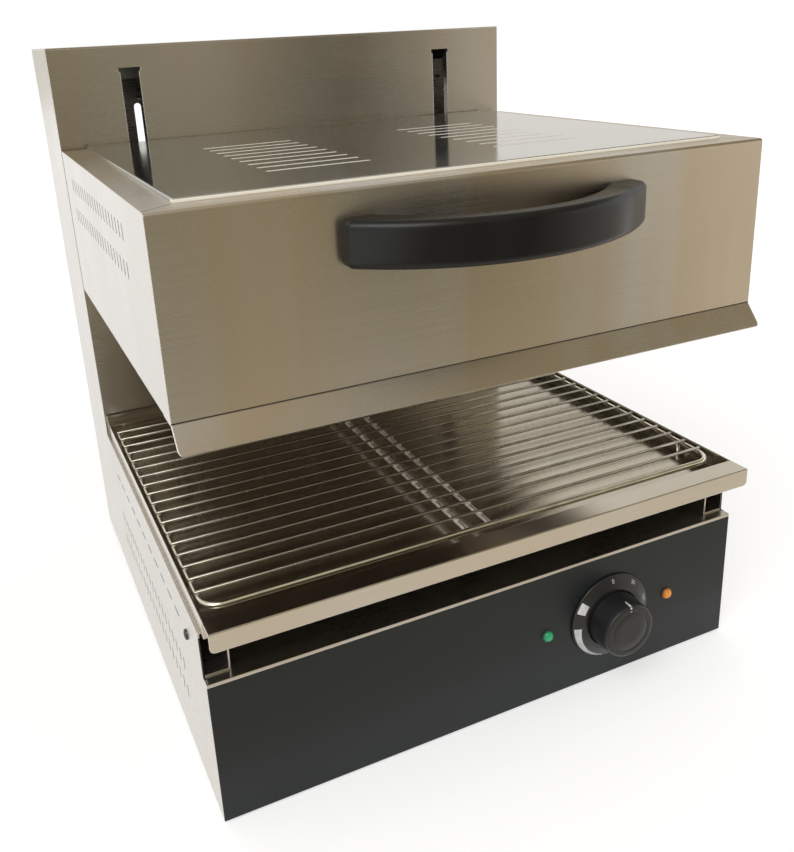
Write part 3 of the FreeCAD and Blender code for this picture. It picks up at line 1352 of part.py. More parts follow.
def wire_rack():
    """A welded grid: a round cornered frame, cross rods, two middle wires and four legs."""
    wires = []
    corner_half = "(rack_half - rack_corner)"
    for label, side in LEFT_RIGHT:
        wires.append(bar("rack_rail_" + label, "rail_wire_radius", "y",
                         ("rack_front + rack_corner", "rack_back - rack_corner"),
                         (f"{side} * rack_half", "rack_level")))
        wires.append(bar("rack_middle_" + label, "middle_radius", "y", ("rack_front", "rack_back"),
                         (f"{side} * middle_spread / 2 - middle_shift", "rack_level")))
        for end, y in (("front", "rack_front + leg_inset"), ("rear", "rack_back - leg_inset")):
            wires.append(bar(f"rack_leg_{end}_{label}", "leg_radius", "z",
                             ("tray_floor + run_gap", "rack_level"), (f"{side} * rack_half", y)))
    for end, y in (("front", "rack_front"), ("rear", "rack_back")):
        wires.append(bar("rack_wire_" + end, "rail_wire_radius", "x",
                         (f"-{corner_half}", corner_half), (y, "rack_level")))
    front = "rack_front + rack_corner"
    rear = "rack_back - rack_corner"
    for turn, (side, y) in enumerate(((1, rear), (-1, rear), (-1, front), (1, front))):
        bend = doc.addObject("Part::Torus", f"rack_bend_{turn + 1}")
        quarter = FreeCAD.Rotation(FreeCAD.Vector(0, 0, 1), 90 * turn)
        bend.Placement = FreeCAD.Placement(FreeCAD.Vector(), quarter)
        bend.Angle3 = 90
        bind(bend, "Radius1", "rack_corner")
        bind(bend, "Radius2", "rail_wire_radius")
        wires.append(move(bend, (f"{side} * {corner_half}", y, "rack_level")))
    for index in range(int(size("rod_count"))):
        wires.append(bar(f"rack_rod_{index + 1}", "rod_radius", "x",
                         ("-rack_half - rod_past", "rack_half + rod_past"),
                         (f"rack_front + rod_first + {index} * rod_pitch", "rod_level")))
    return node("wire_rack", fuse("wire_rack", wires))


for label, side in LEFT_RIGHT:
    side_panel(label, side)
    tray_runner(label, side)
    guide_rail(label, side)
    lift_chain(label, side)
    lift_arm(label, side)
for label in ("upper", "lower"):
    chain_shaft(label)
    chain_wheels(label)
    rollers(label)
rail_bridge("upper", "rail_top - bridge_height")
rail_bridge("lower", "rail_bottom")
for label, step in ELEMENTS:
    heating_element(label, step)
pilot_light("green", -1)
pilot_light("amber", 1)
for make in (
    base_floor, base_deck, control_panel, feet, side_screws,
    dial_ring, thermostat_knob, knob_shaft, heat_regulator, terminal_block, cable_gland,
    tower_front_panel, tower_cap, rear_cover, rear_cover_screws,
    shaft_bearings, travel_stops, counterweight, weight_clamps,
    arm_bolts, carriage_plate, roller_pins, chain_clamps,
    hood_shell, hood_cover, hood_rear_panel, deflector_lip, handle, handle_screws,
    reflector, insulation, element_brackets, element_terminals,
    crumb_tray, wire_rack,
):
    make()

doc.recompute()
for thing in doc.Objects:
    if "Invalid" in thing.State or "Error" in thing.State:
        raise RuntimeError(f"{thing.Name} did not build")
for thing in nodes:
    if thing.Shape.isNull() or not thing.Shape.isValid():
        raise RuntimeError(f"{thing.Label} is not a valid shape")
for thing in nodes:
    thing.Shape.exportStep(f"parts/{thing.Label}.step")
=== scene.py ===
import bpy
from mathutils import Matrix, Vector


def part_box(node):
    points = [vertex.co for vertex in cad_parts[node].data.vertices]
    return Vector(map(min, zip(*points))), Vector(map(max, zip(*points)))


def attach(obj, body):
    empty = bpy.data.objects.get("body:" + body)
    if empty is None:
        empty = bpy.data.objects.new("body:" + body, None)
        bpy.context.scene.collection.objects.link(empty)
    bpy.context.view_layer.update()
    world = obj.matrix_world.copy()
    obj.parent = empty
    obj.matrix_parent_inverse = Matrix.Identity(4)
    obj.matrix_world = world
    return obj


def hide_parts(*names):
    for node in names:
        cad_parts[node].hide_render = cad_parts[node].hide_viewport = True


bl_info = {
    "name": "Rise and fall salamander grill",
    "version": (1, 0, 0),
    "blender": (4, 5, 0),
    "location": "3D View > Sidebar > Grill",
    "description": "Finishes, wires, controls and fastenings of a countertop lift grill",
    "category": "Object",
}

import math

import bmesh
import bpy
from bpy.props import FloatProperty, FloatVectorProperty, IntProperty, PointerProperty
from mathutils import Matrix, Vector

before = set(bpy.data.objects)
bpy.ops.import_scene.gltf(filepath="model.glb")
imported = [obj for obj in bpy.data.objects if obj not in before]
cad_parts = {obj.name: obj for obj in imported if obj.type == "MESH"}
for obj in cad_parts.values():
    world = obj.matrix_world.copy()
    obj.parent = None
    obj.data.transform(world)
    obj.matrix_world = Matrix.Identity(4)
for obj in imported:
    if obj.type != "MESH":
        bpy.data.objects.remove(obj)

X_AXIS = Vector((1, 0, 0))
Y_AXIS = Vector((0, 1, 0))
Z_AXIS = Vector((0, 0, 1))
MIX_SOCKETS = {"FLOAT": (2, 3, 0), "VECTOR": (4, 5, 1), "RGBA": (6, 7, 2)}
STEEP = 0.6
PRINT_LIFT = 0.00004


def colour_setting(name, description, value):
    return FloatVectorProperty(
        name=name, description=description, subtype="COLOR", size=3, min=0.0, max=1.0, default=value)


def length_setting(name, description, value):
    return FloatProperty(
        name=name, description=description, unit="LENGTH", subtype="DISTANCE", precision=5, default=value)


def number_setting(name, description, value):
    return FloatProperty(name=name, description=description, default=value)


class SteelSettings(bpy.types.PropertyGroup):
    """Colours and brush lines of the stainless and plated pieces."""
    sheet: colour_setting("Sheet", "Colour of the brushed sheet", (0.60, 0.57, 0.53))
    cover: colour_setting("Cover", "Colour of the polished hood cover", (0.58, 0.61, 0.64))
    tray: colour_setting("Tray", "Colour of the crumb tray", (0.62, 0.58, 0.52))
    # The cross rod colour is kept dark: painted shade on the plated wire.
    wire: colour_setting("Wire", "Colour of the cross rods", (0.45, 0.43, 0.38))
    line_width: length_setting("Line width", "Width of the broadest brush lines", 0.0009)
    line_run: length_setting("Line run", "Length of a brush line", 0.12)
    edge: length_setting("Edge", "Softness of the sheet edges", 0.0008)


class ControlSettings(bpy.types.PropertyGroup):
    """Sizes and colours of the controls."""
    panel: colour_setting("Panel", "Colour of the control panel", (0.0095, 0.0105, 0.0105))
    knob: colour_setting("Knob", "Colour of the knob and the dial", (0.012, 0.012, 0.013))
    print: colour_setting("Print", "Colour of the printed scale", (0.64, 0.64, 0.63))
    green: colour_setting("Green light", "Colour of the left lens", (0.02, 0.30, 0.12))
    amber: colour_setting("Amber light", "Colour of the right lens", (0.62, 0.22, 0.03))
    numeral: length_setting("Numeral", "Height of the dial numbers", 0.0048)
    knob_reach: length_setting("Knob reach", "Knob standing out of the panel", 0.027)
    dial_radius: length_setting("Dial radius", "Radius of the scale ring", 0.037)
    lens_radius: length_setting("Lens radius", "Radius of the lights", 0.005)


class RackSettings(bpy.types.PropertyGroup):
    """Wire sizes of the rack."""
    frame_radius: length_setting("Frame wire", "Radius of the frame wire", 0.0025)
    middle_radius: length_setting("Middle wire", "Radius of the two middle wires", 0.002)
    rod_radius: length_setting("Rod", "Radius of the cross rods", 0.0013)
    corner: length_setting("Corner", "Radius of the frame corners", 0.014)
    pitch: length_setting("Pitch", "Spacing of the cross rods", 0.0175)
    rods: IntProperty(name="Rods", description="Number of cross rods", default=18, min=2)


class StudioSettings(bpy.types.PropertyGroup):
    """Camera place and light levels."""
    place: FloatVectorProperty(
        name="Camera place", description="Camera in front of the grill, to its left", subtype="TRANSLATION",
        size=3, default=(-0.31026, -0.71906, 0.51420))
    heading: number_setting("Heading", "Camera turn to the right of the back", 24.290)
    pitch: number_setting("Pitch", "Camera tilt down", 19.527)
    roll: number_setting("Roll", "Camera roll", -2.820)
    lens: number_setting("Lens", "Focal length", 38.449)
    shift_x: number_setting("Shift across", "Lens shift across the picture", 0.01366)
    shift_y: number_setting("Shift up", "Lens shift up the picture", -0.08492)
    key: number_setting("Key light", "Power of the large soft light", 34.0)
    fill: number_setting("Fill light", "Power of the soft light on the right", 9.0)
    sky: number_setting("Sky", "Level of the even light", 0.72)


# Shader parts
class Nodes:
    """Adds nodes to one shader tree and joins them."""

    def __init__(self, tree):
        self.tree = tree

    def join(self, value, socket):
        """Link a socket, or set a plain value; a colour has three parts."""
        if isinstance(value, bpy.types.NodeSocket):
            self.tree.links.new(value, socket)
        else:
            socket.default_value = (*value, 1.0) if socket.type == "RGBA" else value

    def place(self, kind, inputs=(), **settings):
        """A shader node with its settings and its inputs joined by name or number."""
        made = self.tree.nodes.new("ShaderNode" + kind)
        for name, value in settings.items():
            setattr(made, name, value)
        for key, value in dict(inputs).items():
            self.join(value, made.inputs[key])
        return made

    def where(self, kind="Object"):
        return self.place("TexCoord").outputs[kind]

    def parts(self, vector):
        return self.place("SeparateXYZ", {0: vector}).outputs

    def vector(self, *parts):
        return self.place("CombineXYZ", dict(enumerate(parts))).outputs[0]

    def maths(self, operation, first, second=0.0, third=0.0):
        return self.place("Math", {0: first, 1: second, 2: third}, operation=operation).outputs[0]

    def times(self, first, second):
        return self.maths("MULTIPLY", first, second)

    def size(self, value):
        return self.maths("ABSOLUTE", value)

    def above(self, value, limit):
        return self.maths("GREATER_THAN", value, limit)

    def below(self, value, limit):
        return self.maths("LESS_THAN", value, limit)

    def mix(self, kind, factor, first, second):
        made = self.place("Mix", {0: factor}, data_type=kind)
        first_socket, second_socket, result = MIX_SOCKETS[kind]
        self.join(first, made.inputs[first_socket])
        self.join(second, made.inputs[second_socket])
        return made.outputs[result]

    def tone(self, factor, first, second):
        return self.mix("RGBA", factor, first, second)

    def stretch(self, value, low, high, floor=0.0, ceiling=1.0):
        """Spread the values between low and high over a new range."""
        inputs = {"Value": value, "From Min": low, "From Max": high, "To Min": floor, "To Max": ceiling}
        return self.place("MapRange", inputs).outputs[0]

    def between(self, value, floor, ceiling):
        return self.stretch(value, 0.0, 1.0, floor, ceiling)

    def noise(self, vector, scale, detail=2.0, roughness=0.5):
        inputs = {"Vector": vector, "Scale": scale, "Detail": detail, "Roughness": roughness}
        return self.place("TexNoise", inputs).outputs[0]

    def cells(self, vector, scale):
        return self.place("TexVoronoi", {"Vector": vector, "Scale": scale}).outputs

    def scaled(self, vector, by):
        return self.place("Mapping", {"Vector": vector, "Scale": by}).outputs[0]

    def use(self, name, **values):
        """The outputs of a shared node group, which is built the first time."""
        made = self.tree.nodes.new("ShaderNodeGroup")
        made.node_tree = bpy.data.node_groups.get(name) or SHARED[name](name)
        for label, value in values.items():
            self.join(value, made.inputs[label])
        return made.outputs


class Group(Nodes):
    """A shared node group: start holds what comes in, and give joins what goes out."""

    def __init__(self, name, inputs, outputs):
        super().__init__(bpy.data.node_groups.new(name, "ShaderNodeTree"))
        for label, value in inputs.items():
            socket = self.tree.interface.new_socket(label, in_out="INPUT", socket_type="NodeSocketFloat")
            socket.default_value = value
        for label, kind in outputs.items():
            self.tree.interface.new_socket(label, in_out="OUTPUT", socket_type="NodeSocket" + kind)
        self.start = self.tree.nodes.new("NodeGroupInput").outputs
        self.end = self.tree.nodes.new("NodeGroupOutput").inputs

    def give(self, **values):
        for label, value in values.items():
            self.join(value, self.end[label])
        return self.tree


class Finish(Nodes):
    """A material with plain values on its shader; more gives other sockets by name."""

    def __init__(self, name, colour, metallic, roughness, **more):
        self.colour = tuple(colour)
        self.material = bpy.data.materials.new(name)
        self.material.use_nodes = True
        super().__init__(self.material.node_tree)
        self.shader = self.tree.nodes["Principled BSDF"]
        self.feed(Base_Color=colour, Metallic=metallic, Roughness=roughness, **more)

    def feed(self, **values):
        for label, value in values.items():
            self.join(value, self.shader.inputs[label.replace("_", " ")])

    def tint(self, by):
        return tuple(min(1.0, part * by) for part in self.colour)

    def tints(self, mask, low, high):
        """The colour of the finish, from one tint to the other as the mask goes from 0 to 1."""
        return self.tone(mask, self.tint(low), self.tint(high))

    def over(self, below, mask, share, colour):
        """Another colour laid over what is below, as far as a share of the mask."""
        return self.tone(self.times(mask, share), below, colour)

    def marks(self, scale=14.0):
        return self.use("Handling Marks", Scale=scale)

    def edges(self, radius):
        return self.use("Soft Edges", Radius=radius)

    def bump(self, height, strength, distance, normal=None):
        inputs = {"Height": height, "Strength": strength, "Distance": distance}
        if normal:
            inputs["Normal"] = normal
        self.feed(Normal=self.place("Bump", inputs).outputs[0])
        return self


def brush_lines(name):
    """Long fine lines, across the front and top faces and along the depth of the side faces.

    Bands are soft upright patches of painted reflection, on all but the side faces.
    """
    group = Group(name, {"Width": 0.0009, "Run": 0.12}, {"Lines": "Float", "Bands": "Float"})
    across = group.maths("DIVIDE", 1.0, group.start["Width"])
    along = group.maths("DIVIDE", 1.0, group.start["Run"])
    sideways = group.above(group.size(group.parts(group.where("Normal"))[0]), STEEP)
    scale = group.mix(
        "VECTOR", sideways, group.vector(along, across, across), group.vector(across, along, across))
    point = group.place("VectorMath", {0: group.where(), 1: scale}, operation="MULTIPLY").outputs[0]
    lines = group.stretch(group.noise(point, 1.0, 3.0, 0.72), 0.30, 0.70)
    # Soft upright patches that give painted reflection stripes in the sheet.
    upright = group.scaled(group.where(), (15.0, 15.0, 1.6))
    bands = group.stretch(group.noise(upright, 1.0, 2.0), 0.41, 0.59)
    return group.give(Lines=lines, Bands=group.times(bands, group.maths("SUBTRACT", 1.0, sideways)))


def vent_walls(name):
    """A mask of the cut walls of the slots in the side sheets, inside a zone of height and depth."""
    group = Group(
        name, {"Face": 0.2236, "Front": -0.215, "Back": 0.13, "Bottom": 0.0, "Top": 1.0}, {"Walls": "Float"})
    x, y, z = group.parts(group.where())
    facing = group.size(group.parts(group.where("Normal"))[0])
    walls = group.times(group.above(group.size(x), group.start["Face"]), group.below(facing, 0.5))
    for value, low, high in ((y, "Front", "Back"), (z, "Bottom", "Top")):
        walls = group.times(walls, group.above(value, group.start[low]))
        walls = group.times(walls, group.below(value, group.start[high]))
    return group.give(Walls=walls)


def soft_edges(name):
    """A normal that rounds the edges a little, and a mask of where the edges are."""
    group = Group(name, {"Radius": 0.0005}, {"Normal": "Vector", "Edge": "Float"})
    rounded = group.place("Bevel", {"Radius": group.start["Radius"]}, samples=6).outputs[0]
    flat = group.place("NewGeometry").outputs["Normal"]
    same = group.place("VectorMath", {0: rounded, 1: flat}, operation="DOT_PRODUCT").outputs["Value"]
    return group.give(Normal=rounded, Edge=group.stretch(group.maths("SUBTRACT", 1.0, same), 0.01, 0.20))


def handling_marks(name):
    """Faint wiped patches and small specks from use."""
    group = Group(name, {"Scale": 14.0}, {"Smears": "Float", "Specks": "Float"})
    upright = group.scaled(group.where(), (1.0, 1.0, 0.45))
    smears = group.stretch(group.noise(upright, group.start["Scale"], 4.0, 0.6), 0.42, 0.68)
    return group.give(Smears=smears, Specks=group.stretch(group.noise(group.where(), 900.0, 1.0), 0.66, 0.74))


def moulded_grain(name):
    """The fine even texture of a moulded surface."""
    group = Group(name, {"Size": 0.0005}, {"Grain": "Float", "Tone": "Float"})
    where = group.where()
    grain = group.cells(where, group.maths("DIVIDE", 1.0, group.start["Size"]))["Distance"]
    return group.give(Grain=grain, Tone=group.stretch(group.noise(where, 30.0, 3.0), 0.35, 0.65))


def zinc_flakes(name):
    """The mottled flakes of a hot dipped surface."""
    group = Group(name, {"Scale": 160.0}, {"Flakes": "Float", "Dust": "Float"})
    where = group.where()
    drift = group.place("TexNoise", {"Vector": where, "Scale": 90.0}).outputs["Color"]
    bent = group.place("VectorMath", {0: where, 1: drift, 2: (0.004,) * 3}, operation="MULTIPLY_ADD").outputs[0]
    flakes = group.parts(group.cells(bent, group.start["Scale"])["Color"])[0]
    return group.give(Flakes=flakes, Dust=group.stretch(group.noise(where, 22.0, 4.0), 0.45, 0.75))


SHARED = {
    "Brush Lines": brush_lines, "Vent Walls": vent_walls, "Soft Edges": soft_edges,
    "Handling Marks": handling_marks, "Moulded Grain": moulded_grain, "Zinc Flakes": zinc_flakes,
}


# Finishes
def brushed_steel(
        name, colour, roughness, relief=0.01, contrast=0.03, smear=0.6, bands=0.35, vents=None):
    """Sheet with brush lines that smear reflections, soft upright patches of painted reflection, painted
    highlights along the edges, and marks.

    vents gives the zone of the slots in the side sheets, whose cut walls are painted near black and matt as
    shade inside the slots.
    """
    look = bpy.context.scene.grill_steel
    made = Finish(name, colour, 1.0, roughness, Anisotropic=smear)
    grain = made.use("Brush Lines", Width=look.line_width, Run=look.line_run)
    edges = made.edges(look.edge)
    lined = made.tints(grain["Lines"], 1.0 - contrast, 1.0 + contrast)
    # The brown tint laid in upright patches is a painted reflection of the warm surroundings.
    brown = tuple(part * share for part, share in zip(colour, (0.96, 0.87, 0.74)))
    # The edge mask lightens the colour: a painted highlight along the bends and corners.
    shade = made.over(made.over(lined, grain["Bands"], bands, brown), edges["Edge"], 0.7, made.tint(1.6))
    spread = made.between(grain["Lines"], roughness - 0.015, roughness + 0.02)
    worn = made.maths("MULTIPLY_ADD", made.marks()["Smears"], 0.03, spread)
    if vents:
        # The slot walls are painted near black and not metallic: painted shade inside the slots.
        walls = made.use("Vent Walls", **vents)["Walls"]
        shade = made.tone(walls, shade, (0.022, 0.020, 0.018))
        worn = made.mix("FLOAT", walls, worn, 0.95)
        made.feed(Metallic=made.maths("SUBTRACT", 1.0, walls))
    level = made.above(made.size(made.parts(made.where("Normal"))[2]), STEEP)
    across = made.mix("VECTOR", level, tuple(Z_AXIS), tuple(Y_AXIS))
    made.feed(Base_Color=shade, Roughness=worn, Tangent=across)
    return made.bump(grain["Lines"], relief, 0.00012, edges["Normal"])


def polished_cover(name, colour):
    """Bright sheet whose slot walls and front edge are painted pale and matt: a painted highlight in the slots
    and along the front edge.
    """
    made = brushed_steel(name, colour, 0.11, relief=0.0, contrast=0.01, smear=0.2, bands=0.1)
    x, y, _ = made.parts(made.where())
    upright = made.below(made.size(made.parts(made.where("Normal"))[2]), 0.5)
    inside = made.maths("MAXIMUM", made.below(made.size(x), 0.2), made.below(y, -0.195))
    cut = made.times(upright, inside)
    shade, gloss = (made.shader.inputs[label].links[0].from_socket for label in ("Base Color", "Roughness"))
    # Slot walls and the front edge are painted pale cream and matt: a painted highlight.
    made.feed(
        Base_Color=made.tone(cut, shade, (0.90, 0.86, 0.76)), Roughness=made.mix("FLOAT", cut, gloss, 0.5),
        Metallic=made.between(cut, 1.0, 0.1))
    return made


def plated(name, colour, roughness):
    """Bright plating with small pits."""
    made = Finish(name, colour, 1.0, roughness)
    marks = made.marks(60.0)
    made.feed(
        Base_Color=made.tints(marks["Smears"], 1.08, 0.78),
        Roughness=made.between(marks["Smears"], roughness, roughness + 0.16))
    return made.bump(marks["Specks"], 0.15, 0.0001)


def galvanised(name, colour):
    made = Finish(name, colour, 1.0, 0.42)
    zinc = made.use("Zinc Flakes")
    made.feed(
        Base_Color=made.over(made.tints(zinc["Flakes"], 0.78, 1.16), zinc["Dust"], 0.35, made.tint(0.6)),
        Roughness=made.between(zinc["Flakes"], 0.34, 0.52))
    return made.bump(zinc["Flakes"], 0.12, 0.0002, made.edges(0.0004)["Normal"])


def machined(name, colour, roughness):
    """Turned or cut steel with fine tool marks and a little oil."""
    made = Finish(name, colour, 1.0, roughness)
    cuts = made.noise(made.scaled(made.where(), (1.0 / 0.0009, 60.0, 60.0)), 1.0)
    smears = made.marks(45.0)["Smears"]
    made.feed(
        Base_Color=made.over(made.tints(cuts, 0.82, 1.15), smears, 0.5, made.tint(0.5)),
        Roughness=made.between(smears, roughness + 0.1, roughness - 0.08))
    return made.bump(cuts, 0.2, 0.0001, made.edges(0.0003)["Normal"])


def moulded(name, colour, roughness, grain=0.0005, relief=0.12, edge=0.0005, gloss=0.5):
    """Moulded plastic or rubber: a fine grain, uneven sheen and slightly paler edges."""
    made = Finish(name, colour, 0.0, roughness, Specular_IOR_Level=gloss)
    skin = made.use("Moulded Grain", Size=grain)
    edges = made.edges(edge)
    # Every edge of the moulding is made slightly paler.
    paler_edge_colour = tuple(part + 0.05 for part in colour)
    made.feed(
        Base_Color=made.over(made.tints(skin["Tone"], 0.85, 1.15), edges["Edge"], 0.5, paler_edge_colour),
        Roughness=made.between(made.marks(20.0)["Smears"], roughness - 0.04, roughness + 0.10))
    return made.bump(skin["Grain"], relief, grain * 0.4, edges["Normal"])


def panel_enamel(name, colour):
    """Black stoved paint: faint orange peel, wiped patches and thin bright edges."""
    made = Finish(name, colour, 0.0, 0.3, Specular_IOR_Level=0.32)
    where = made.where()
    marks = made.marks(7.0)
    edges = made.edges(0.0004)
    cool = tuple(part * share for part, share in zip(colour, (1.05, 1.25, 1.3)))
    drift = made.tone(made.stretch(made.noise(where, 3.0), 0.35, 0.65), made.tint(0.9), cool)
    specked = made.over(drift, marks["Specks"], 0.3, made.tint(2.6))
    made.feed(
        Base_Color=made.over(specked, edges["Edge"], 0.6, (0.10, 0.10, 0.095)),
        Roughness=made.between(marks["Smears"], 0.32, 0.46))
    return made.bump(made.noise(where, 420.0), 0.06, 0.0004, edges["Normal"])


def lens_plastic(name, colour):
    """A coloured lens: deeper towards its foot, with fine rings of moulded facets."""
    made = Finish(name, colour, 0.0, 0.18, Transmission_Weight=0.25, IOR=1.49, Emission_Strength=0.22)
    where = made.where()
    facets = made.cells(where, 620.0)["Distance"]
    depth = made.stretch(made.parts(where)[1], -0.2252, -0.2212)
    shade = made.tints(depth, 1.5, 0.35)
    made.feed(
        Base_Color=shade, Emission_Color=shade, Roughness=made.stretch(facets, 0.0, 0.6, 0.12, 0.3))
    return made.bump(facets, 0.5, 0.0003)


def print_paint(name, colour):
    """Screen printed paint with slightly worn patches."""
    made = Finish(name, colour, 0.0, 0.5)
    marks = made.marks(120.0)
    made.feed(Base_Color=made.tints(marks["Smears"], 1.05, 0.72))
    return made.bump(marks["Specks"], 0.1, 0.0001)


def heated(name):
    """A sheathed element: grey brown with straw and blue tints from heat."""
    made = Finish(name, (0.2, 0.17, 0.15), 0.85, 0.5)
    patches = made.stretch(made.noise(made.scaled(made.where(), (9.0, 40.0, 40.0)), 1.0, 3.0), 0.3, 0.7)
    fine = made.noise(made.where(), 500.0, 3.0)
    warm = made.tone(patches, (0.11, 0.095, 0.09), (0.30, 0.21, 0.14))
    blue = made.tone(made.stretch(patches, 0.72, 0.95), warm, (0.16, 0.18, 0.24))
    made.feed(
        Base_Color=made.over(blue, fine, 0.25, (0.05, 0.045, 0.04)),
        Roughness=made.stretch(fine, 0.3, 0.7, 0.42, 0.62))
    return made.bump(fine, 0.3, 0.0002)


def cast_paint(name, colour):
    """Painted cast iron with a sandy skin."""
    made = Finish(name, colour, 0.0, 0.55)
    sand = made.noise(made.where(), 420.0, 5.0, 0.7)
    made.feed(
        Base_Color=made.tints(sand, 0.6, 1.5),
        Roughness=made.stretch(sand, 0.3, 0.7, 0.45, 0.7))
    return made.bump(sand, 0.6, 0.0006, made.edges(0.0015)["Normal"])


def glazed(name, colour):
    """Glazed ceramic with a few fine specks."""
    made = Finish(name, colour, 0.0, 0.22, Coat_Weight=0.4)
    marks = made.marks(60.0)
    made.feed(
        Base_Color=made.tints(marks["Specks"], 1.0, 0.55),
        Roughness=made.between(marks["Smears"], 0.18, 0.34))
    return made.bump(marks["Smears"], 0.1, 0.0003)


def wool(name, colour):
    """Matted mineral fibre."""
    made = Finish(name, colour, 0.0, 0.95, Sheen_Weight=0.3)
    fibres = made.noise(made.scaled(made.where(), (180.0, 900.0, 900.0)), 1.0, 5.0, 0.75)
    tufts = made.stretch(made.noise(made.where(), 60.0, 3.0), 0.3, 0.7)
    made.feed(Base_Color=made.over(made.tints(fibres, 0.62, 1.1), tufts, 0.4, made.tint(0.7)))
    return made.bump(made.maths("ADD", fibres, tufts), 0.8, 0.0012)


FINISHES = {}


def finish(name):
    """The material of a named finish of this grill, made once."""
    steel, controls = bpy.context.scene.grill_steel, bpy.context.scene.grill_controls
    hood_vents = {"Bottom": 0.31, "Top": 0.42}
    cabinet_vents = {"Back": 0.255, "Bottom": 0.008, "Top": 0.148}
    makers = {
        "cabinet sheet": (brushed_steel, steel.sheet, 0.27, {"vents": cabinet_vents}),
        "tower sheet": (brushed_steel, steel.sheet, 0.25),
        "hood sheet": (brushed_steel, steel.sheet, 0.27, {"relief": 0.005, "bands": 0.9, "vents": hood_vents}),
        "cover sheet": (polished_cover, steel.cover),
        "tray sheet": (brushed_steel, steel.tray, 0.17, {"relief": 0.06, "contrast": 0.04}),
        "reflector sheet": (brushed_steel, (0.34, 0.30, 0.26), 0.24, {"relief": 0.08, "contrast": 0.08}),
        # The rack's plated wire has three tones: the cross rods painted dim as shade, the frame and middle
        # wires painted bright as highlight.
        "rack wire": (plated, steel.wire, 0.15),
        "frame wire": (plated, (0.74, 0.71, 0.62), 0.13),
        "middle wire": (plated, (0.92, 0.90, 0.82), 0.42),
        "weld": (plated, (0.62, 0.58, 0.50), 0.3),
        "galvanised sheet": (galvanised, (0.52, 0.53, 0.54)),
        "machined steel": (machined, (0.50, 0.50, 0.50), 0.32),
        "chain steel": (machined, (0.20, 0.19, 0.18), 0.34),
        "bright screw": (machined, (0.60, 0.60, 0.59), 0.28),
        "dark screw": (machined, (0.10, 0.095, 0.09), 0.4),
        "panel enamel": (panel_enamel, controls.panel),
        "knob plastic": (moulded, controls.knob, 0.34, {"grain": 0.0004, "relief": 0.08}),
        "handle plastic": (
            moulded, (0.005, 0.0048, 0.0045), 0.28, {"relief": 0.06, "edge": 0.0015, "gloss": 0.34}),
        "black moulding": (moulded, (0.035, 0.035, 0.036), 0.5),
        "cream moulding": (moulded, (0.72, 0.68, 0.56), 0.45),
        "nylon": (moulded, (0.74, 0.72, 0.65), 0.4),
        "rubber": (moulded, (0.022, 0.022, 0.022), 0.75, {"grain": 0.0009, "relief": 0.3}),
        "green lens": (lens_plastic, controls.green),
        "amber lens": (lens_plastic, controls.amber),
        "scale print": (print_paint, controls.print),
        "heated element": (heated,),
        "weight paint": (cast_paint, (0.05, 0.05, 0.055)),
        "ceramic": (glazed, (0.80, 0.77, 0.70)),
        "blanket": (wool, (0.74, 0.70, 0.58)),
        "seam shadow": (moulded, (0.035, 0.027, 0.018), 0.9),
    }
    if name not in FINISHES:
        maker, *values = makers[name]
        more = values.pop() if values and isinstance(values[-1], dict) else {}
        FINISHES[name] = maker(name.title(), *values, **more).material
    return FINISHES[name]


def dress(name, *nodes):
    """Put a finish on carried over nodes."""
    for label in nodes:
        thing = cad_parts[label]
        if not thing.material_slots:
            thing.data.materials.append(None)
        for held in thing.material_slots:
            held.material = finish(name)


# Modelling
def at(point, axis=Z_AXIS):
    """A place at the point, with Z turned to the axis."""
    return Matrix.Translation(point) @ Z_AXIS.rotation_difference(Vector(axis)).to_matrix().to_4x4()


def middle_of(low, high):
    return (low + high) / 2


def on_face(low, high, level, axis):
    """A place at the middle of a box seen along Y, on the face at the given level."""
    return at(((low.x + high.x) / 2, level, (low.z + high.z) / 2), axis)


def mesh_from(name, bm):
    mesh = bpy.data.meshes.new(name)
    bm.to_mesh(mesh)
    bm.free()
    return mesh


def add_object(name, data):
    thing = bpy.data.objects.new(name, data)
    bpy.context.scene.collection.objects.link(thing)
    return thing


def new_piece(name, bm, finish_name, body, smooth=35.0, replaces=None):
    """Finish a mesh: merged, facing outwards, smooth up to an angle, and riding on its body."""
    bmesh.ops.remove_doubles(bm, verts=bm.verts, dist=5e-6)
    bmesh.ops.recalc_face_normals(bm, faces=bm.faces)
    mesh = mesh_from(name, bm)
    mesh.materials.append(finish(finish_name))
    mesh.shade_smooth()
    mesh.set_sharp_from_angle(angle=math.radians(smooth))
    piece = add_object(name, mesh)
    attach(piece, body)
    if replaces:
        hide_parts(replaces)
    return piece


def only(kind, items):
    return [item for item in items if isinstance(item, kind)]


def edges_of(verts):
    """The edges at the vertices, each once and in a fixed order."""
    return list(dict.fromkeys(edge for vertex in verts for edge in vertex.link_edges))


def edges_within(bm, verts):
    return [edge for edge in bm.edges if all(vertex in verts for vertex in edge.verts)]


def move_new(bm, before, matrix):
    """Move the vertices that weren't there before."""
    bmesh.ops.transform(bm, matrix=matrix, verts=[vertex for vertex in bm.verts if vertex not in before])


def round_over(bm, edges, offset, segments=2):
    bmesh.ops.bevel(
        bm, geom=edges, offset=offset, offset_type="OFFSET", segments=segments, profile=0.5,
        affect="EDGES", material=-1)


def add_cylinder(bm, matrix, radius, height, segments):
    made = bmesh.ops.create_cone(
        bm, cap_ends=True, segments=segments, radius1=radius, radius2=radius, depth=height, matrix=matrix)
    return made["verts"]


def add_ring(bm, matrix, radius, segments, filled=False):
    made = bmesh.ops.create_circle(bm, cap_ends=filled, segments=segments, radius=radius, matrix=matrix)
    return made["verts"]


def add_rod(bm, start, end, radius, segments=12, rounding=0.0):
    """A round rod between two points, with its ends rounded over."""
    start, end = Vector(start), Vector(end)
    run = end - start
    verts = add_cylinder(bm, at((start + end) / 2, run.normalized()), radius, run.length, segments)
    if rounding:
        rims = [edge for edge in edges_of(verts) if any(len(face.verts) > 4 for face in edge.link_faces)]
        round_over(bm, rims, rounding)


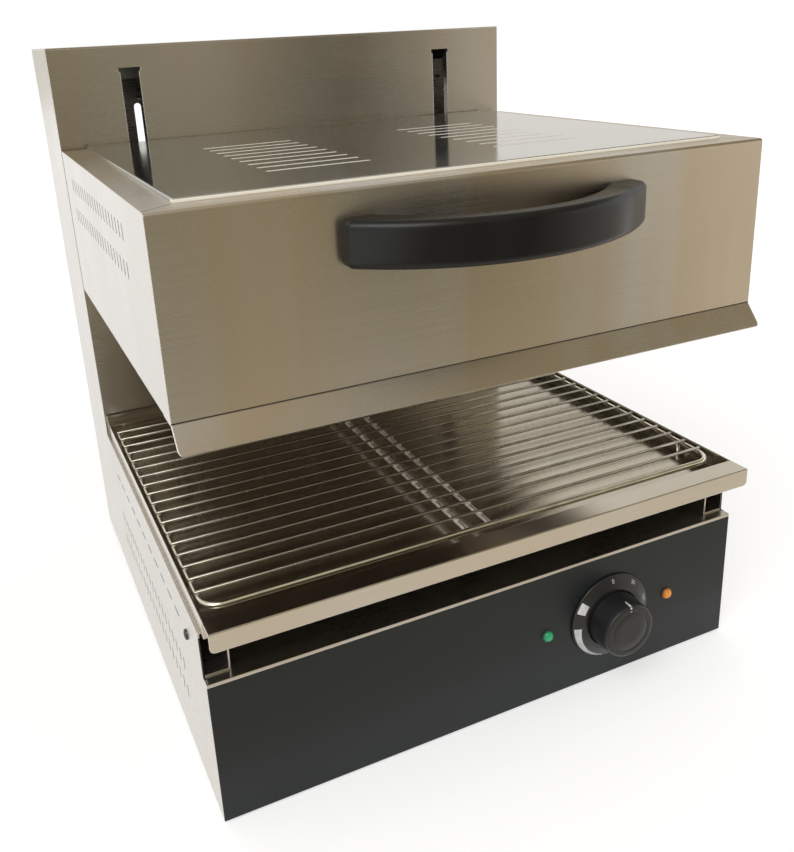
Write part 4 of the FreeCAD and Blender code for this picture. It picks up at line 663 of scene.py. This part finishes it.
def add_turning(bm, profile, matrix, segments=48):
    """A turned shape from (radius, height) points, round the local Z axis."""
    before = set(bm.verts)
    points = [bm.verts.new((radius, 0.0, height)) for radius, height in profile]
    edges = [bm.edges.new(pair) for pair in zip(points, points[1:])]
    bmesh.ops.spin(
        bm, geom=points + edges, axis=Z_AXIS, cent=(0, 0, 0), angle=math.tau, steps=segments, use_merge=True)
    bmesh.ops.remove_doubles(bm, verts=[vertex for vertex in bm.verts if vertex not in before], dist=1e-6)
    move_new(bm, before, matrix)


def add_block(bm, low, high, rounding=0.0):
    """A box between two corners, with its edges rounded."""
    low, high = Vector(low), Vector(high)
    matrix = Matrix.Translation((low + high) / 2) @ Matrix.Diagonal((*(high - low), 1.0))
    made = bmesh.ops.create_cube(bm, size=1.0, matrix=matrix)
    if rounding:
        round_over(bm, edges_of(made["verts"]), rounding)


def add_cross_head(bm, matrix, radius, height):
    """A pan head with a cross recess."""
    arm, reach, depth = radius * 0.13, radius * 0.52, height * 0.55
    outline = []
    for quarter in range(4):
        turn = Matrix.Rotation(-math.tau * quarter / 4, 2)
        outline += [turn @ Vector(point) for point in ((arm, reach), (arm, arm), (reach, arm))]
    top = [bm.verts.new((x, y, height)) for x, y in outline]
    mouth = [bm.edges.new(pair) for pair in zip(top, top[1:] + top[:1])]
    sunk = bmesh.ops.extrude_edge_only(bm, edges=mouth)["geom"]
    low = only(bmesh.types.BMVert, sunk)
    bmesh.ops.translate(bm, verts=low, vec=(0, 0, -depth))
    bmesh.ops.scale(bm, verts=low, vec=(0.75, 0.75, 1.0))
    bmesh.ops.contextual_create(bm, geom=[
        edge for edge in only(bmesh.types.BMEdge, sunk) if all(vertex in low for vertex in edge.verts)])
    made = top + low
    loops = [mouth]
    for share, level in ((0.72, height), (0.93, height * 0.75), (1.0, height * 0.25), (1.0, 0.0)):
        raised = Matrix.Translation((0, 0, level)) @ Matrix.Rotation(math.radians(15), 4, "Z")
        ring = add_ring(bm, raised, radius * share, 12)
        loops.append(edges_within(bm, ring))
        made += ring
    for inner, outer in zip(loops, loops[1:]):
        bmesh.ops.bridge_loops(bm, edges=inner + outer)
    bmesh.ops.transform(bm, matrix=matrix, verts=made)


def add_hexagon_head(bm, matrix, radius, height):
    verts = add_cylinder(bm, matrix @ Matrix.Translation((0, 0, height / 2)), radius, height, 6)
    round_over(bm, edges_of(verts), radius * 0.08)


def solid_boxes(node_name):
    """Lowest and highest corner of every separate solid of a node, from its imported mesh."""
    bm = bmesh.new()
    bm.from_mesh(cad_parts[node_name].data)
    bmesh.ops.remove_doubles(bm, verts=bm.verts, dist=1e-6)
    boxes, seen = [], set()
    for first in bm.verts:
        if first in seen:
            continue
        stack, points = [first], []
        while stack:
            vertex = stack.pop()
            if vertex in seen:
                continue
            seen.add(vertex)
            points.append(vertex.co.copy())
            stack.extend(edge.other_vert(vertex) for edge in vertex.link_edges)
        boxes.append((Vector(map(min, zip(*points))), Vector(map(max, zip(*points)))))
    bm.free()
    return boxes


def ellipse(across, up, steps=6):
    """Profile points from the crown of a dome to its rim."""
    turns = [math.pi / 2 * step / steps for step in range(steps + 1)]
    return [(across * math.sin(turn), up * math.cos(turn)) for turn in turns]


def add_seam(bm, start, end, outward, width):
    """A thin line of shadow that lies on a face, from start to end."""
    start, end, outward = Vector(start), Vector(end), Vector(outward)
    run = (end - start).normalized()
    low = Vector((-(end - start).length / 2, -width / 2, 0.0))
    before = set(bm.verts)
    add_block(bm, low, -low + Vector((0, 0, PRINT_LIFT)))
    turn = Matrix((run, outward.cross(run), outward)).transposed().to_4x4()
    move_new(bm, before, Matrix.Translation((start + end) / 2) @ turn)


# Pieces
class GRILL_OT_stage(bpy.types.Operator):
    """Set the floor, the reflecting cards, the lights and the camera"""
    bl_idname = "grill.stage"
    bl_label = "Stage"
    unlit, dim = (0.07, 0.06, 0.045), (0.26, 0.222, 0.140)
    warm, clear = (0.77, 0.71, 0.60), (0.80, 0.77, 0.70)

    def card(self, name, near, far, colour):
        """A large flat card with plain matt paint.

        near and far are its two level edges, each as its left end, right end, depth and height.
        """
        corners = [(near[0], *near[2:]), (near[1], *near[2:]), (far[1], *far[2:]), (far[0], *far[2:])]
        bm = bmesh.new()
        bmesh.ops.contextual_create(bm, geom=[bm.verts.new(corner) for corner in corners])
        mesh = mesh_from(name, bm)
        paint = Finish(name + " paint", colour, 0.0, 0.9)
        mesh.materials.append(paint.material)
        thing = add_object(name, mesh)
        return thing, paint

    def fan_bands(self, paint, x, y):
        """Soft tones that fan out from the grill over the floor and walls in front, brighter at the right."""
        fan = paint.maths(
            "DIVIDE", paint.maths("ADD", x, 0.31), paint.maths("ADD", paint.size(y), 0.28))
        ripple = paint.noise(paint.vector(fan), 5.2)
        bright = paint.maths(
            "ADD", paint.stretch(fan, 0.70, 1.05), paint.stretch(ripple, 0.35, 0.7, -0.2, 0.45))
        near = paint.times(paint.stretch(y, -0.95, -0.5), paint.stretch(y, 1.0, -0.2))
        return paint.maths("MAXIMUM", paint.maths("MAXIMUM", bright, near), 0.0)

    def wall_bands(self, paint, x, y):
        """The same tones with a dark upright band, which the tower mirrors in its middle."""
        off_band = paint.size(paint.maths("SUBTRACT", x, 1.82))
        dark = paint.stretch(off_band, 0.15, 0.50, -0.85, 0.0)
        pale = paint.stretch(x, 2.15, 2.6, 0.0, 0.45)
        return paint.maths("ADD", self.fan_bands(paint, x, y), paint.maths("ADD", dark, pale))

    def overhead_fall(self, paint, x, y):
        return paint.stretch(x, -0.6, 2.2, 0.75, 0.10)

    def even(self, paint, x, y):
        return 1.0

    def reflecting_card(self, name, near, far, shape, pale):
        """Light from dark to pale as the shape gives it, seen only in what mirrors it."""
        thing, paint = self.card(name, near, far, (0.0, 0.0, 0.0))
        x, y, _ = paint.parts(paint.where())
        level = shape(paint, x, y)
        low = paint.tone(paint.stretch(level, -0.5, 0.0), self.unlit, self.dim)
        paint.feed(Emission_Color=paint.tone(level, low, pale), Emission_Strength=1.0)
        for ray in ("camera", "diffuse", "shadow", "transmission"):
            setattr(thing, "visible_" + ray, False)

    def soft_lamp(self, name, spot, size, power):
        """A square lamp that faces the grill."""
        data = bpy.data.lights.new(name, "AREA")
        data.shape = "RECTANGLE"
        data.size, data.size_y, data.energy = size, size, power
        lamp = add_object(name, data)
        lamp.location = spot
        lamp.rotation_euler = (Vector((0, 0, 0.25)) - Vector(spot)).to_track_quat("-Z", "Y").to_euler()
        return lamp

    def seen(self, nodes):
        """1 for the rays that show the background: seen straight, mirrored or through glass."""
        path = nodes.place("LightPath").outputs
        straight = nodes.maths("MAXIMUM", path["Is Camera Ray"], path["Is Glossy Ray"])
        return nodes.maths("MAXIMUM", straight, path["Is Transmission Ray"])

    def floor(self):
        """A pale floor that is brighter far away, to meet the white background."""
        _, paint = self.card("floor", (-14, 14, -14, 0), (-14, 14, 14, 0), (0.66, 0.66, 0.66))
        far = paint.place("VectorMath", {0: paint.where()}, operation="LENGTH").outputs["Value"]
        glow = paint.times(self.seen(paint), paint.stretch(far, 0.5, 3.5, 0.42, 0.62))
        paint.feed(Emission_Color=(1.0, 1.0, 1.0), Emission_Strength=glow)

    def sky(self, scene, level):
        """Even light, with plain white where the background is seen."""
        world = scene.world or bpy.data.worlds.new("studio")
        scene.world = world
        world.use_nodes = True
        world.node_tree.nodes.clear()
        nodes = Nodes(world.node_tree)
        even = nodes.place("Background", {"Color": (1.0, 0.985, 0.96), "Strength": level})
        white = nodes.place("Background", {"Color": (1.0, 1.0, 1.0), "Strength": 1.0})
        both = nodes.place("MixShader", {0: self.seen(nodes), 1: even.outputs[0], 2: white.outputs[0]})
        nodes.place("OutputWorld", {"Surface": both.outputs[0]})

    def camera(self, scene, studio):
        data = bpy.data.cameras.new("view_camera")
        data.sensor_width = 36.0
        data.lens, data.shift_x, data.shift_y = studio.lens, studio.shift_x, studio.shift_y
        matrix = Matrix.Translation(studio.place)
        for angle, axis in ((-studio.heading, "Z"), (90 - studio.pitch, "X"), (studio.roll, "Z")):
            matrix = matrix @ Matrix.Rotation(math.radians(angle), 4, axis)
        scene.camera = add_object("view_camera", data)
        scene.camera.matrix_world = matrix

    def execute(self, context):
        scene, studio = context.scene, context.scene.grill_studio
        scene.view_settings.view_transform = "Standard"
        self.floor()
        for name, near, far, shape, pale in (
                ("front_floor", (-2.2, 4.5, -4, 0.002), (-0.6, 4.5, -0.27, 0.002), self.fan_bands, self.warm),
                ("front_wall", (-2.5, 4.5, -4, 0), (-2.5, 4.5, -4, 2.6), self.wall_bands, self.warm),
                ("front_ceiling", (-2.5, 5, -4, 2.6), (-2.5, 5, -1.3, 3), self.overhead_fall, self.warm),
                ("overhead", (-2.5, 5, -1.3, 3), (-2.5, 5, 3, 3.2), self.overhead_fall, self.warm),
                ("back_wall", (-3, 4, 3.2, 0.3), (-3, 4, 3.2, 3), self.even, self.clear)):
            self.reflecting_card(name, near, far, shape, pale)
        self.sky(scene, studio.sky)
        self.soft_lamp("key_lamp", (-1.5, -1.5, 2.3), 1.8, studio.key)
        fill = self.soft_lamp("fill_lamp", (2.2, -1.0, 1.4), 1.2, studio.fill)
        fill.visible_glossy = False
        self.camera(scene, studio)
        return {"FINISHED"}


class GRILL_OT_sheets(bpy.types.Operator):
    """Brush the cabinet, tower and hood sheets, and enamel the control panel"""
    bl_idname = "grill.sheets"
    bl_label = "Sheets"

    def execute(self, context):
        dress("cabinet sheet", "side_panel_left", "side_panel_right", "base_deck", "tray_runner_left",
              "tray_runner_right")
        dress("tower sheet", "tower_front_panel", "tower_cap", "rear_cover")
        dress("hood sheet", "hood_shell", "hood_rear_panel", "deflector_lip")
        dress("cover sheet", "hood_cover")
        dress("tray sheet", "crumb_tray")
        dress("panel enamel", "control_panel")
        dress("galvanised sheet", "base_floor")
        dress("rubber", "feet")
        return {"FINISHED"}


class GRILL_OT_seams(bpy.types.Operator):
    """Paint thin shadow lines along the mitred corners of the hood top and the joint of the lip"""
    bl_idname = "grill.seams"
    bl_label = "Seams"
    mitre_width, joint_width = 0.0004, 0.0009
    side_gap, front_gap, joint_rise = 0.0005, 0.0045, 0.0006

    def execute(self, context):
        shell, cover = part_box("hood_shell"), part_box("hood_cover")
        bm = bmesh.new()
        for side in (-1, 1):
            outer = (side * (shell[1].x - self.side_gap), shell[0].y + self.front_gap, shell[1].z)
            inner = (side * cover[1].x, cover[0].y, shell[1].z)
            add_seam(bm, outer, inner, Z_AXIS, self.mitre_width)
        ends = [(corner.x, shell[0].y, shell[0].z + self.joint_rise) for corner in shell]
        add_seam(bm, *ends, -Y_AXIS, self.joint_width)
        new_piece("hood_seam_shadows", bm, "seam shadow", "hood")
        return {"FINISHED"}


class GRILL_OT_heater(bpy.types.Operator):
    """Finish the elements and the reflector, and lay the fibre blanket"""
    bl_idname = "grill.heater"
    bl_label = "Heater"
    rounding, cuts, sag, ripple = 0.004, 14, 0.0012, 0.0010

    def execute(self, context):
        dress("reflector sheet", "reflector", "element_brackets")
        dress("heated element", "heating_element_front", "heating_element_middle", "heating_element_rear")
        dress("ceramic", "element_terminals")
        low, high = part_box("insulation")
        bm = bmesh.new()
        add_block(bm, low, high)
        round_over(bm, bm.edges[:], self.rounding, segments=3)
        long_edges = [edge for edge in bm.edges if edge.calc_length() > 0.05]
        bmesh.ops.subdivide_edges(bm, edges=long_edges, cuts=self.cuts, use_grid_fill=True)
        for vertex in bm.verts:
            wave = math.sin(vertex.co.x * 61.0) * math.sin(vertex.co.y * 83.0 + 1.0)
            if vertex.co.z > middle_of(low, high).z:
                vertex.co.z -= self.sag + self.ripple * wave
        blanket = new_piece(
            "fibre_blanket", bm, "blanket", "hood", smooth=60.0, replaces="insulation")
        return {"FINISHED"}


class GRILL_OT_lift(bpy.types.Operator):
    """Finish the lift and build its chains and chain wheels"""
    bl_idname = "grill.lift"
    bl_label = "Lift"
    pitches, teeth = 94, 15
    plate_radius, plate_half, plate_gauge = 0.0028, 0.0032, 0.0006
    outer_gap, inner_gap, roller_radius, roller_height = 0.0030, 0.0022, 0.0021, 0.004
    chain_inset = 0.002
    bore, hub_radius, web, bevel = 0.00505, 0.009, 0.0024, 0.0016
    tooth_foot, tooth_tip, tooth_height = 0.0024, 0.0011, 0.0024

    def link(self, bm, matrix, outer):
        """One chain link: two side plates and a roller."""
        before = set(bm.verts)
        gap = self.outer_gap if outer else self.inner_gap
        for side in (-1, 1):
            plate = add_ring(bm, at((side * gap, 0, 0), X_AXIS), self.plate_radius, 10, filled=True)
            for vertex in plate:
                if abs(vertex.co.z) > 1e-5:
                    vertex.co.z += math.copysign(self.plate_half, vertex.co.z)
            thick = bmesh.ops.extrude_face_region(bm, geom=[plate[0].link_faces[0]])["geom"]
            bmesh.ops.translate(bm, verts=only(bmesh.types.BMVert, thick), vec=(side * self.plate_gauge, 0, 0))
        start, end = ((side * gap, 0, self.roller_height) for side in (-1, 1))
        add_rod(bm, start, end, self.roller_radius, segments=8)
        move_new(bm, before, matrix)

    def chain(self, label):
        low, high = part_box("lift_chain_" + label)
        radius = (high.y - low.y) / 2 - self.chain_inset
        half = (high.z - low.z) / 2 - self.chain_inset - radius
        run, arc = 2 * half, math.pi * radius
        step = 2 * (run + arc) / self.pitches
        bm = bmesh.new()
        for index in range(self.pitches):
            along = step * (index + 0.5)
            returning = along >= run + arc
            part = along - (run + arc) * returning
            turn = max(part - run, 0.0) / radius + math.pi * returning
            side = -1 if returning else 1
            y, z = radius * math.cos(turn), side * half + radius * math.sin(turn)
            if part < run:
                y, z = side * radius, side * (part - half)
            spot = middle_of(low, high) + Vector((0, y, z))
            self.link(bm, Matrix.Translation(spot) @ Matrix.Rotation(turn, 4, "X"), index % 2 == 0)
        new_piece("roller_chain_" + label, bm, "chain steel", "root",
                  replaces="lift_chain_" + label)

    def wheels(self, label):
        """Two toothed wheels with hubs on one shaft."""
        node_name = label + "_sprockets"
        low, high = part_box(node_name)
        radius = (high.y - low.y) / 2
        bm = bmesh.new()
        for near, far in solid_boxes(node_name):
            centre = ((near.x + far.x) / 2, (low.y + high.y) / 2, (low.z + high.z) / 2)
            hub = (far.x - near.x) / 2
            half = [(self.bore, hub), (self.hub_radius, hub), (self.hub_radius, self.web),
                    (radius - 0.002, self.web), (radius - 0.0005, self.bevel)]
            profile = [(out, -up) for out, up in half] + half[::-1] + [(self.bore, -hub)]
            add_turning(bm, profile, at(centre, X_AXIS), segments=30)
            for tooth in range(self.teeth):
                spin = Matrix.Rotation(math.tau * (tooth + 0.5) / self.teeth, 4, "X")
                matrix = Matrix.Translation(centre) @ spin @ Matrix.Translation((0, 0, radius + 0.0004))
                bmesh.ops.create_cone(
                    bm, cap_ends=True, segments=6, radius1=self.tooth_foot, radius2=self.tooth_tip,
                    depth=self.tooth_height, matrix=matrix)
        new_piece(label + "_chain_wheels", bm, "machined steel", label + "_shaft",
                  replaces=node_name)

    def execute(self, context):
        for label in ("left", "right"):
            self.chain(label)
        for label in ("upper", "lower"):
            self.wheels(label)
        dress("galvanised sheet", "guide_rail_left", "guide_rail_right", "rail_bridge_upper",
              "rail_bridge_lower", "lift_arm_left", "lift_arm_right", "carriage_plate")
        dress("machined steel", "shaft_bearings", "upper_shaft", "lower_shaft", "roller_pins", "chain_clamps",
              "weight_clamps", "knob_shaft")
        dress("nylon", "upper_rollers", "lower_rollers")
        dress("rubber", "travel_stops")
        dress("weight paint", "counterweight")
        return {"FINISHED"}


class GRILL_OT_wire_rack(bpy.types.Operator):
    """Build the rack: a bent frame, two middle wires, cross rods, legs and their welds"""
    bl_idname = "grill.wire_rack"
    bl_label = "Wire rack"
    middle_wires = (-0.018, 0.002)
    leg_inset, leg_radius = 0.040, 0.002
    first_rod, overhang, sink = 0.0165, 0.0018, 0.0005
    weld_size, weld_sink, weld_drift = (0.0023, 0.0021, 0.0010), 0.0011, 0.0004

    def bent_frame(self, bm, half, front, back, level, radius, corner):
        """One wire bent round four corners."""
        ring = add_ring(bm, at((corner - half, front, level), X_AXIS), radius, 12)
        wire = edges_within(bm, ring)
        across, deep = 2 * (half - corner), back - front - 2 * corner
        bends = [
            ((half - corner, front + corner, level), (across, 0, 0)),
            ((half - corner, back - corner, level), (0, deep, 0)),
            ((corner - half, back - corner, level), (-across, 0, 0)),
            ((corner - half, front + corner, level), (0, -deep, 0)),
        ]
        for centre, run in bends:
            ends = only(bmesh.types.BMVert, bmesh.ops.extrude_edge_only(bm, edges=wire)["geom"])
            bmesh.ops.translate(bm, verts=ends, vec=run)
            bent = bmesh.ops.spin(
                bm, geom=ends + edges_within(bm, ends), cent=centre, axis=Z_AXIS, angle=math.pi / 2, steps=7)
            wire = only(bmesh.types.BMEdge, bent["geom_last"])

    def part(self, name, bm, look, smooth=50.0, replaces=None):
        new_piece(name, bm, look, "wire_rack", smooth, replaces)

    def execute(self, context):
        look = context.scene.grill_rack
        low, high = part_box("wire_rack")
        half, front, back = high.x - look.frame_radius, low.y + look.frame_radius, high.y - look.frame_radius
        rod_level = high.z - look.rod_radius
        level = rod_level - look.rod_radius - look.frame_radius + self.sink
        bm = bmesh.new()
        self.bent_frame(bm, half, front, back, level, look.frame_radius, look.corner)
        for x in (-half, half):
            for y in (front + self.leg_inset, back - self.leg_inset):
                add_rod(bm, (x, y, low.z), (x, y, level), self.leg_radius, rounding=0.0006)
        self.part("rack_frame", bm, "frame wire")
        bm = bmesh.new()
        for x in self.middle_wires:
            add_rod(bm, (x, front, level), (x, back, level), look.middle_radius)
        self.part("rack_middle_wires", bm, "middle wire")
        bm = bmesh.new()
        rows = [front + self.first_rod + look.pitch * index for index in range(look.rods)]
        reach = half + self.overhang
        for y in rows:
            add_rod(bm, (-reach, y, rod_level), (reach, y, rod_level), look.rod_radius, rounding=0.0005)
        self.part("welded_rack", bm, "rack wire", replaces="wire_rack")
        bm = bmesh.new()
        wide, deep, thick = self.weld_size
        for index, y in enumerate(rows):
            for x in (-half, *self.middle_wires, half):
                drift = self.weld_drift * math.sin(index * 2.3 + x * 40)
                spot = Matrix.Translation((x + drift, y, rod_level - self.weld_sink))
                size = Matrix.Diagonal((wide, deep + drift, thick, 1.0))
                bmesh.ops.create_icosphere(bm, subdivisions=1, radius=1.0, matrix=spot @ size)
        self.part("rack_welds", bm, "weld", smooth=80.0)
        return {"FINISHED"}


class GRILL_OT_dial(bpy.types.Operator):
    """Turn the scale ring and print its numbers and marks"""
    bl_idname = "grill.dial"
    bl_label = "Dial"
    inner, shoulder, rim, height = 0.0243, 0.0280, 0.0020, 0.0060
    edge_gap = 0.0012
    numbers = (("0", 0), ("50", 38), ("100", 76), ("150", 114), ("200", 152))

    def level(self, radius, outer):
        """Height of the sloping band at a radius."""
        return self.height - (radius - self.shoulder) * (self.height - self.rim) / (outer - self.shoulder)

    def band(self, bm, start, end, widths, outer, centre):
        """A printed patch on the sloping band, between two turns from the top, clockwise."""
        before = set(bm.verts)
        edge = outer - self.edge_gap
        ends = [bm.verts.new((0, radius, self.level(radius, outer) + PRINT_LIFT))
                for radius in (edge - widths[0], edge)]
        seam = bm.edges.new(ends)
        turn, span = math.radians(start), math.radians(end - start)
        bmesh.ops.rotate(bm, verts=ends, cent=(0, 0, 0), matrix=Matrix.Rotation(-turn, 3, "Z"))
        bmesh.ops.spin(bm, geom=ends + [seam], cent=(0, 0, 0), axis=Z_AXIS, angle=-span, steps=24)
        for vertex in bm.verts:
            flat = vertex.co.xy
            if vertex not in before and flat.length < edge - 1e-6:
                share = ((math.atan2(flat.x, flat.y) - turn) % math.tau) / span
                width = widths[0] + (widths[1] - widths[0]) * min(share, 1.0)
                flat = flat.normalized() * (edge - width)
                vertex.co = (*flat, self.level(flat.length, outer) + PRINT_LIFT)
        move_new(bm, before, centre)

    def numeral(self, bm, text, turn, size, outer, centre):
        drawn = bpy.data.curves.new("numeral", "FONT")
        drawn.body, drawn.size = text, size
        drawn.align_x, drawn.align_y = "CENTER", "CENTER"
        holder = bpy.data.objects.new("numeral", drawn)
        flat = bpy.data.meshes.new_from_object(holder)
        radius = (self.shoulder + outer) / 2 + 0.0002
        lean = math.atan2(self.height - self.rim, outer - self.shoulder)
        spot = Matrix.Translation((0, radius, self.level(radius, outer) + 0.00005))
        flat.transform(
            centre @ Matrix.Rotation(-math.radians(turn), 4, "Z") @ spot @ Matrix.Rotation(-lean, 4, "X"))
        bm.from_mesh(flat)
        bpy.data.objects.remove(holder)
        bpy.data.meshes.remove(flat)
        bpy.data.curves.remove(drawn)

    def execute(self, context):
        look = context.scene.grill_controls
        low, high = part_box("dial_ring")
        centre = on_face(low, high, high.y, -Y_AXIS)
        outer = look.dial_radius
        bm = bmesh.new()
        add_turning(bm, [
            (self.inner, 0.0), (outer - 0.0004, 0.0), (outer, 0.0004), (outer, self.rim - 0.0003),
            (outer - 0.0004, self.rim + 0.0002), (self.shoulder + 0.0003, self.height - 0.0002),
            (self.shoulder - 0.0003, self.height), (self.inner + 0.0004, self.height),
            (self.inner, self.height - 0.0004), (self.inner, 0.0)], centre, segments=96)
        new_piece("scale_ring", bm, "knob plastic", "root", smooth=25.0, replaces="dial_ring")
        bm = bmesh.new()
        self.band(bm, 192, 268, (0.0008, 0.0056), outer, centre)
        self.band(bm, 291, 307, (0.0062, 0.0062), outer, centre)
        for text, turn in self.numbers:
            self.numeral(bm, text, turn, look.numeral, outer, centre)
        new_piece("scale_print", bm, "scale print", "root")
        return {"FINISHED"}


class GRILL_OT_knob(bpy.types.Operator):
    """Turn the knob and lay in its pointer"""
    bl_idname = "grill.knob"
    bl_label = "Knob"

    def execute(self, context):
        low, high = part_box("thermostat_knob")
        centre = on_face(low, high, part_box("control_panel")[0].y, -Y_AXIS)
        radius, reach = (high.x - low.x) / 2, context.scene.grill_controls.knob_reach
        face = radius - 0.0012
        bm = bmesh.new()
        add_turning(bm, [
            (0.0, 0.016), (0.003, 0.016), (0.003, 0.0003), (radius - 0.0004, 0.0003), (radius, 0.0007),
            (radius - 0.0002, 0.004), (face + 0.0003, reach - 0.005), (face - 0.0001, reach - 0.0016),
            (face - 0.0005, reach - 0.0008), (face - 0.0013, reach - 0.0002), (face - 0.0024, reach),
            (face - 0.0052, reach - 0.0001), (face - 0.0056, reach - 0.0005), (face - 0.0060, reach - 0.0005),
            (face - 0.0064, reach - 0.0002), (0.009, reach - 0.0004), (0.0, reach - 0.0006)],
            centre, segments=96)
        new_piece("control_knob", bm, "knob plastic", "knob", smooth=40.0,
                  replaces="thermostat_knob")
        bm = bmesh.new()
        half, shoulder = 0.0008, face - 0.0006
        for near, far, low, high in (
                (shoulder, face + 0.0004, 0.0085, 0.0012), (face - 0.0048, shoulder, 0.0010, 0.00005)):
            add_block(bm, (-half, near, reach - low), (half, far, reach - high), rounding=0.0002)
        bmesh.ops.transform(bm, matrix=centre, verts=bm.verts)
        new_piece("knob_pointer", bm, "scale print", "knob")
        return {"FINISHED"}


class GRILL_OT_pilot_lights(bpy.types.Operator):
    """Build the two lights with their lenses, collars and bodies"""
    bl_idname = "grill.pilot_lights"
    bl_label = "Pilot lights"

    def execute(self, context):
        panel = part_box("control_panel")[0].y
        lens = context.scene.grill_controls.lens_radius
        dome = lens - 0.0003
        for colour in ("green", "amber"):
            low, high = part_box("pilot_light_" + colour)
            centre = on_face(low, high, panel, -Y_AXIS)
            bm = bmesh.new()
            add_turning(bm, ellipse(dome, panel - low.y) + [(dome, -0.001), (0.0, -0.001)], centre, segments=40)
            new_piece(colour + "_lens", bm, colour + " lens", "root", smooth=50.0,
                      replaces="pilot_light_" + colour)
            bm = bmesh.new()
            body, back = (high.x - low.x) / 2, panel - high.y
            add_turning(bm, [
                (dome, 0.0), (lens - 0.0002, 0.0006), (lens + 0.0003, 0.0006), (lens + 0.0004, 0.0),
                (lens, -0.0012), (body, -0.0013), (body, back + 0.001), (body - 0.001, back), (0.0, back)],
                centre, segments=32)
            new_piece(colour + "_lamp_body", bm, "black moulding", "root")
        return {"FINISHED"}


class GRILL_OT_handle(bpy.types.Operator):
    """Finish the bow handle"""
    bl_idname = "grill.handle"
    bl_label = "Handle"

    def execute(self, context):
        dress("handle plastic", "handle")
        return {"FINISHED"}


class GRILL_OT_fastenings(bpy.types.Operator):
    """Build the screws with cross recesses and the hexagon bolts"""
    bl_idname = "grill.fastenings"
    bl_label = "Fastenings"
    head_height, shank_share = 0.0016, 0.47
    sets = {
        "side_screws": ("side_cross_screws", "dark screw", "root", X_AXIS),
        "rear_cover_screws": ("rear_cross_screws", "bright screw", "root", Y_AXIS),
        "handle_screws": ("handle_cross_screws", "bright screw", "hood", Y_AXIS),
        "arm_bolts": ("arm_hexagon_bolts", "bright screw", "hood", Y_AXIS),
    }

    def execute(self, context):
        for node_name, (name, look, body, axis) in self.sets.items():
            add_head = add_hexagon_head if node_name == "arm_bolts" else add_cross_head
            bm = bmesh.new()
            for low, high in solid_boxes(node_name):
                middle = middle_of(low, high)
                outward = axis * (math.copysign(1.0, middle.x) if axis is X_AXIS else 1.0)
                reach = high.dot(outward) if outward.dot(axis) > 0 else -low.dot(axis)
                radius, length = (high.z - low.z) / 2, (high - low).dot(axis)
                seat = middle + outward * (reach - self.head_height - middle.dot(outward))
                add_head(bm, at(seat, outward), radius, self.head_height)
                foot = seat - outward * (length - self.head_height)
                add_rod(bm, seat, foot, radius * self.shank_share, segments=10, rounding=0.0002)
            new_piece(name, bm, look, body, smooth=30.0, replaces=node_name)
        return {"FINISHED"}


class GRILL_OT_supply(bpy.types.Operator):
    """Build the cable gland, and finish the terminal block and the regulator"""
    bl_idname = "grill.supply"
    bl_label = "Supply"
    ribs, bore = 18, 0.004

    def execute(self, context):
        dress("black moulding", "heat_regulator")
        dress("cream moulding", "terminal_block")
        low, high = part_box("cable_gland")
        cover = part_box("rear_cover")[1].y
        centre = on_face(low, high, cover, Y_AXIS)
        radius, reach, foot = (high.x - low.x) / 2, high.y - cover, low.y - cover
        bm = bmesh.new()
        add_turning(bm, [
            (self.bore, foot), (0.008, foot), (0.008, 0.0), (radius - 0.0002, 0.0),
            (radius - 0.0002, 0.0042), (radius - 0.0012, 0.0050), (radius - 0.0018, 0.0085),
            (radius - 0.0035, reach - 0.0006), (radius - 0.0045, reach), (0.0052, reach),
            (self.bore, reach - 0.0014), (self.bore, foot)], centre)
        for rib in range(self.ribs):
            before = set(bm.verts)
            low, high = (-0.0005, radius - 0.0042, 0.0052), (0.0005, radius - 0.0010, 0.0100)
            add_block(bm, low, high, rounding=0.0002)
            move_new(bm, before, centre @ Matrix.Rotation(math.tau * rib / self.ribs, 4, "Z"))
        before = set(bm.verts)
        add_hexagon_head(bm, Matrix.Translation((0, 0, foot)), 0.0108, 0.0058)
        bmesh.ops.delete(bm, geom=[face for face in bm.faces if len(face.verts) == 6
                                   and all(vertex not in before for vertex in face.verts)], context="FACES")
        move_new(bm, before, centre)
        new_piece("ribbed_gland", bm, "black moulding", "root", replaces="cable_gland")
        return {"FINISHED"}


class GRILL_PT_panel(bpy.types.Panel):
    """Shows the settings and a button for each step that builds or finishes the grill"""
    bl_idname = "GRILL_PT_panel"
    bl_label = "Lift grill"
    bl_space_type = "VIEW_3D"
    bl_region_type = "UI"
    bl_category = "Grill"

    def draw(self, context):
        for group in SETTINGS:
            box = self.layout.box()
            held = getattr(context.scene, group)
            for name in held.__annotations__:
                box.prop(held, name)
        for operator in OPERATORS:
            self.layout.operator(operator.bl_idname)


SETTINGS = {
    "grill_steel": SteelSettings, "grill_controls": ControlSettings,
    "grill_rack": RackSettings, "grill_studio": StudioSettings,
}
OPERATORS = (
    GRILL_OT_stage, GRILL_OT_sheets, GRILL_OT_seams, GRILL_OT_heater, GRILL_OT_lift, GRILL_OT_wire_rack,
    GRILL_OT_dial, GRILL_OT_knob, GRILL_OT_pilot_lights, GRILL_OT_handle, GRILL_OT_fastenings,
    GRILL_OT_supply,
)


CLASSES = (*SETTINGS.values(), *OPERATORS, GRILL_PT_panel)


def register():
    for kind in CLASSES:
        bpy.utils.register_class(kind)
    for name, kind in SETTINGS.items():
        setattr(bpy.types.Scene, name, PointerProperty(type=kind))


def unregister():
    for name in SETTINGS:
        delattr(bpy.types.Scene, name)
    for kind in reversed(CLASSES):
        bpy.utils.unregister_class(kind)


def main():
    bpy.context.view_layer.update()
    register()
    for operator in OPERATORS:
        family, name = operator.bl_idname.split(".")
        getattr(getattr(bpy.ops, family), name)()


if __name__ == "__main__":
    main()
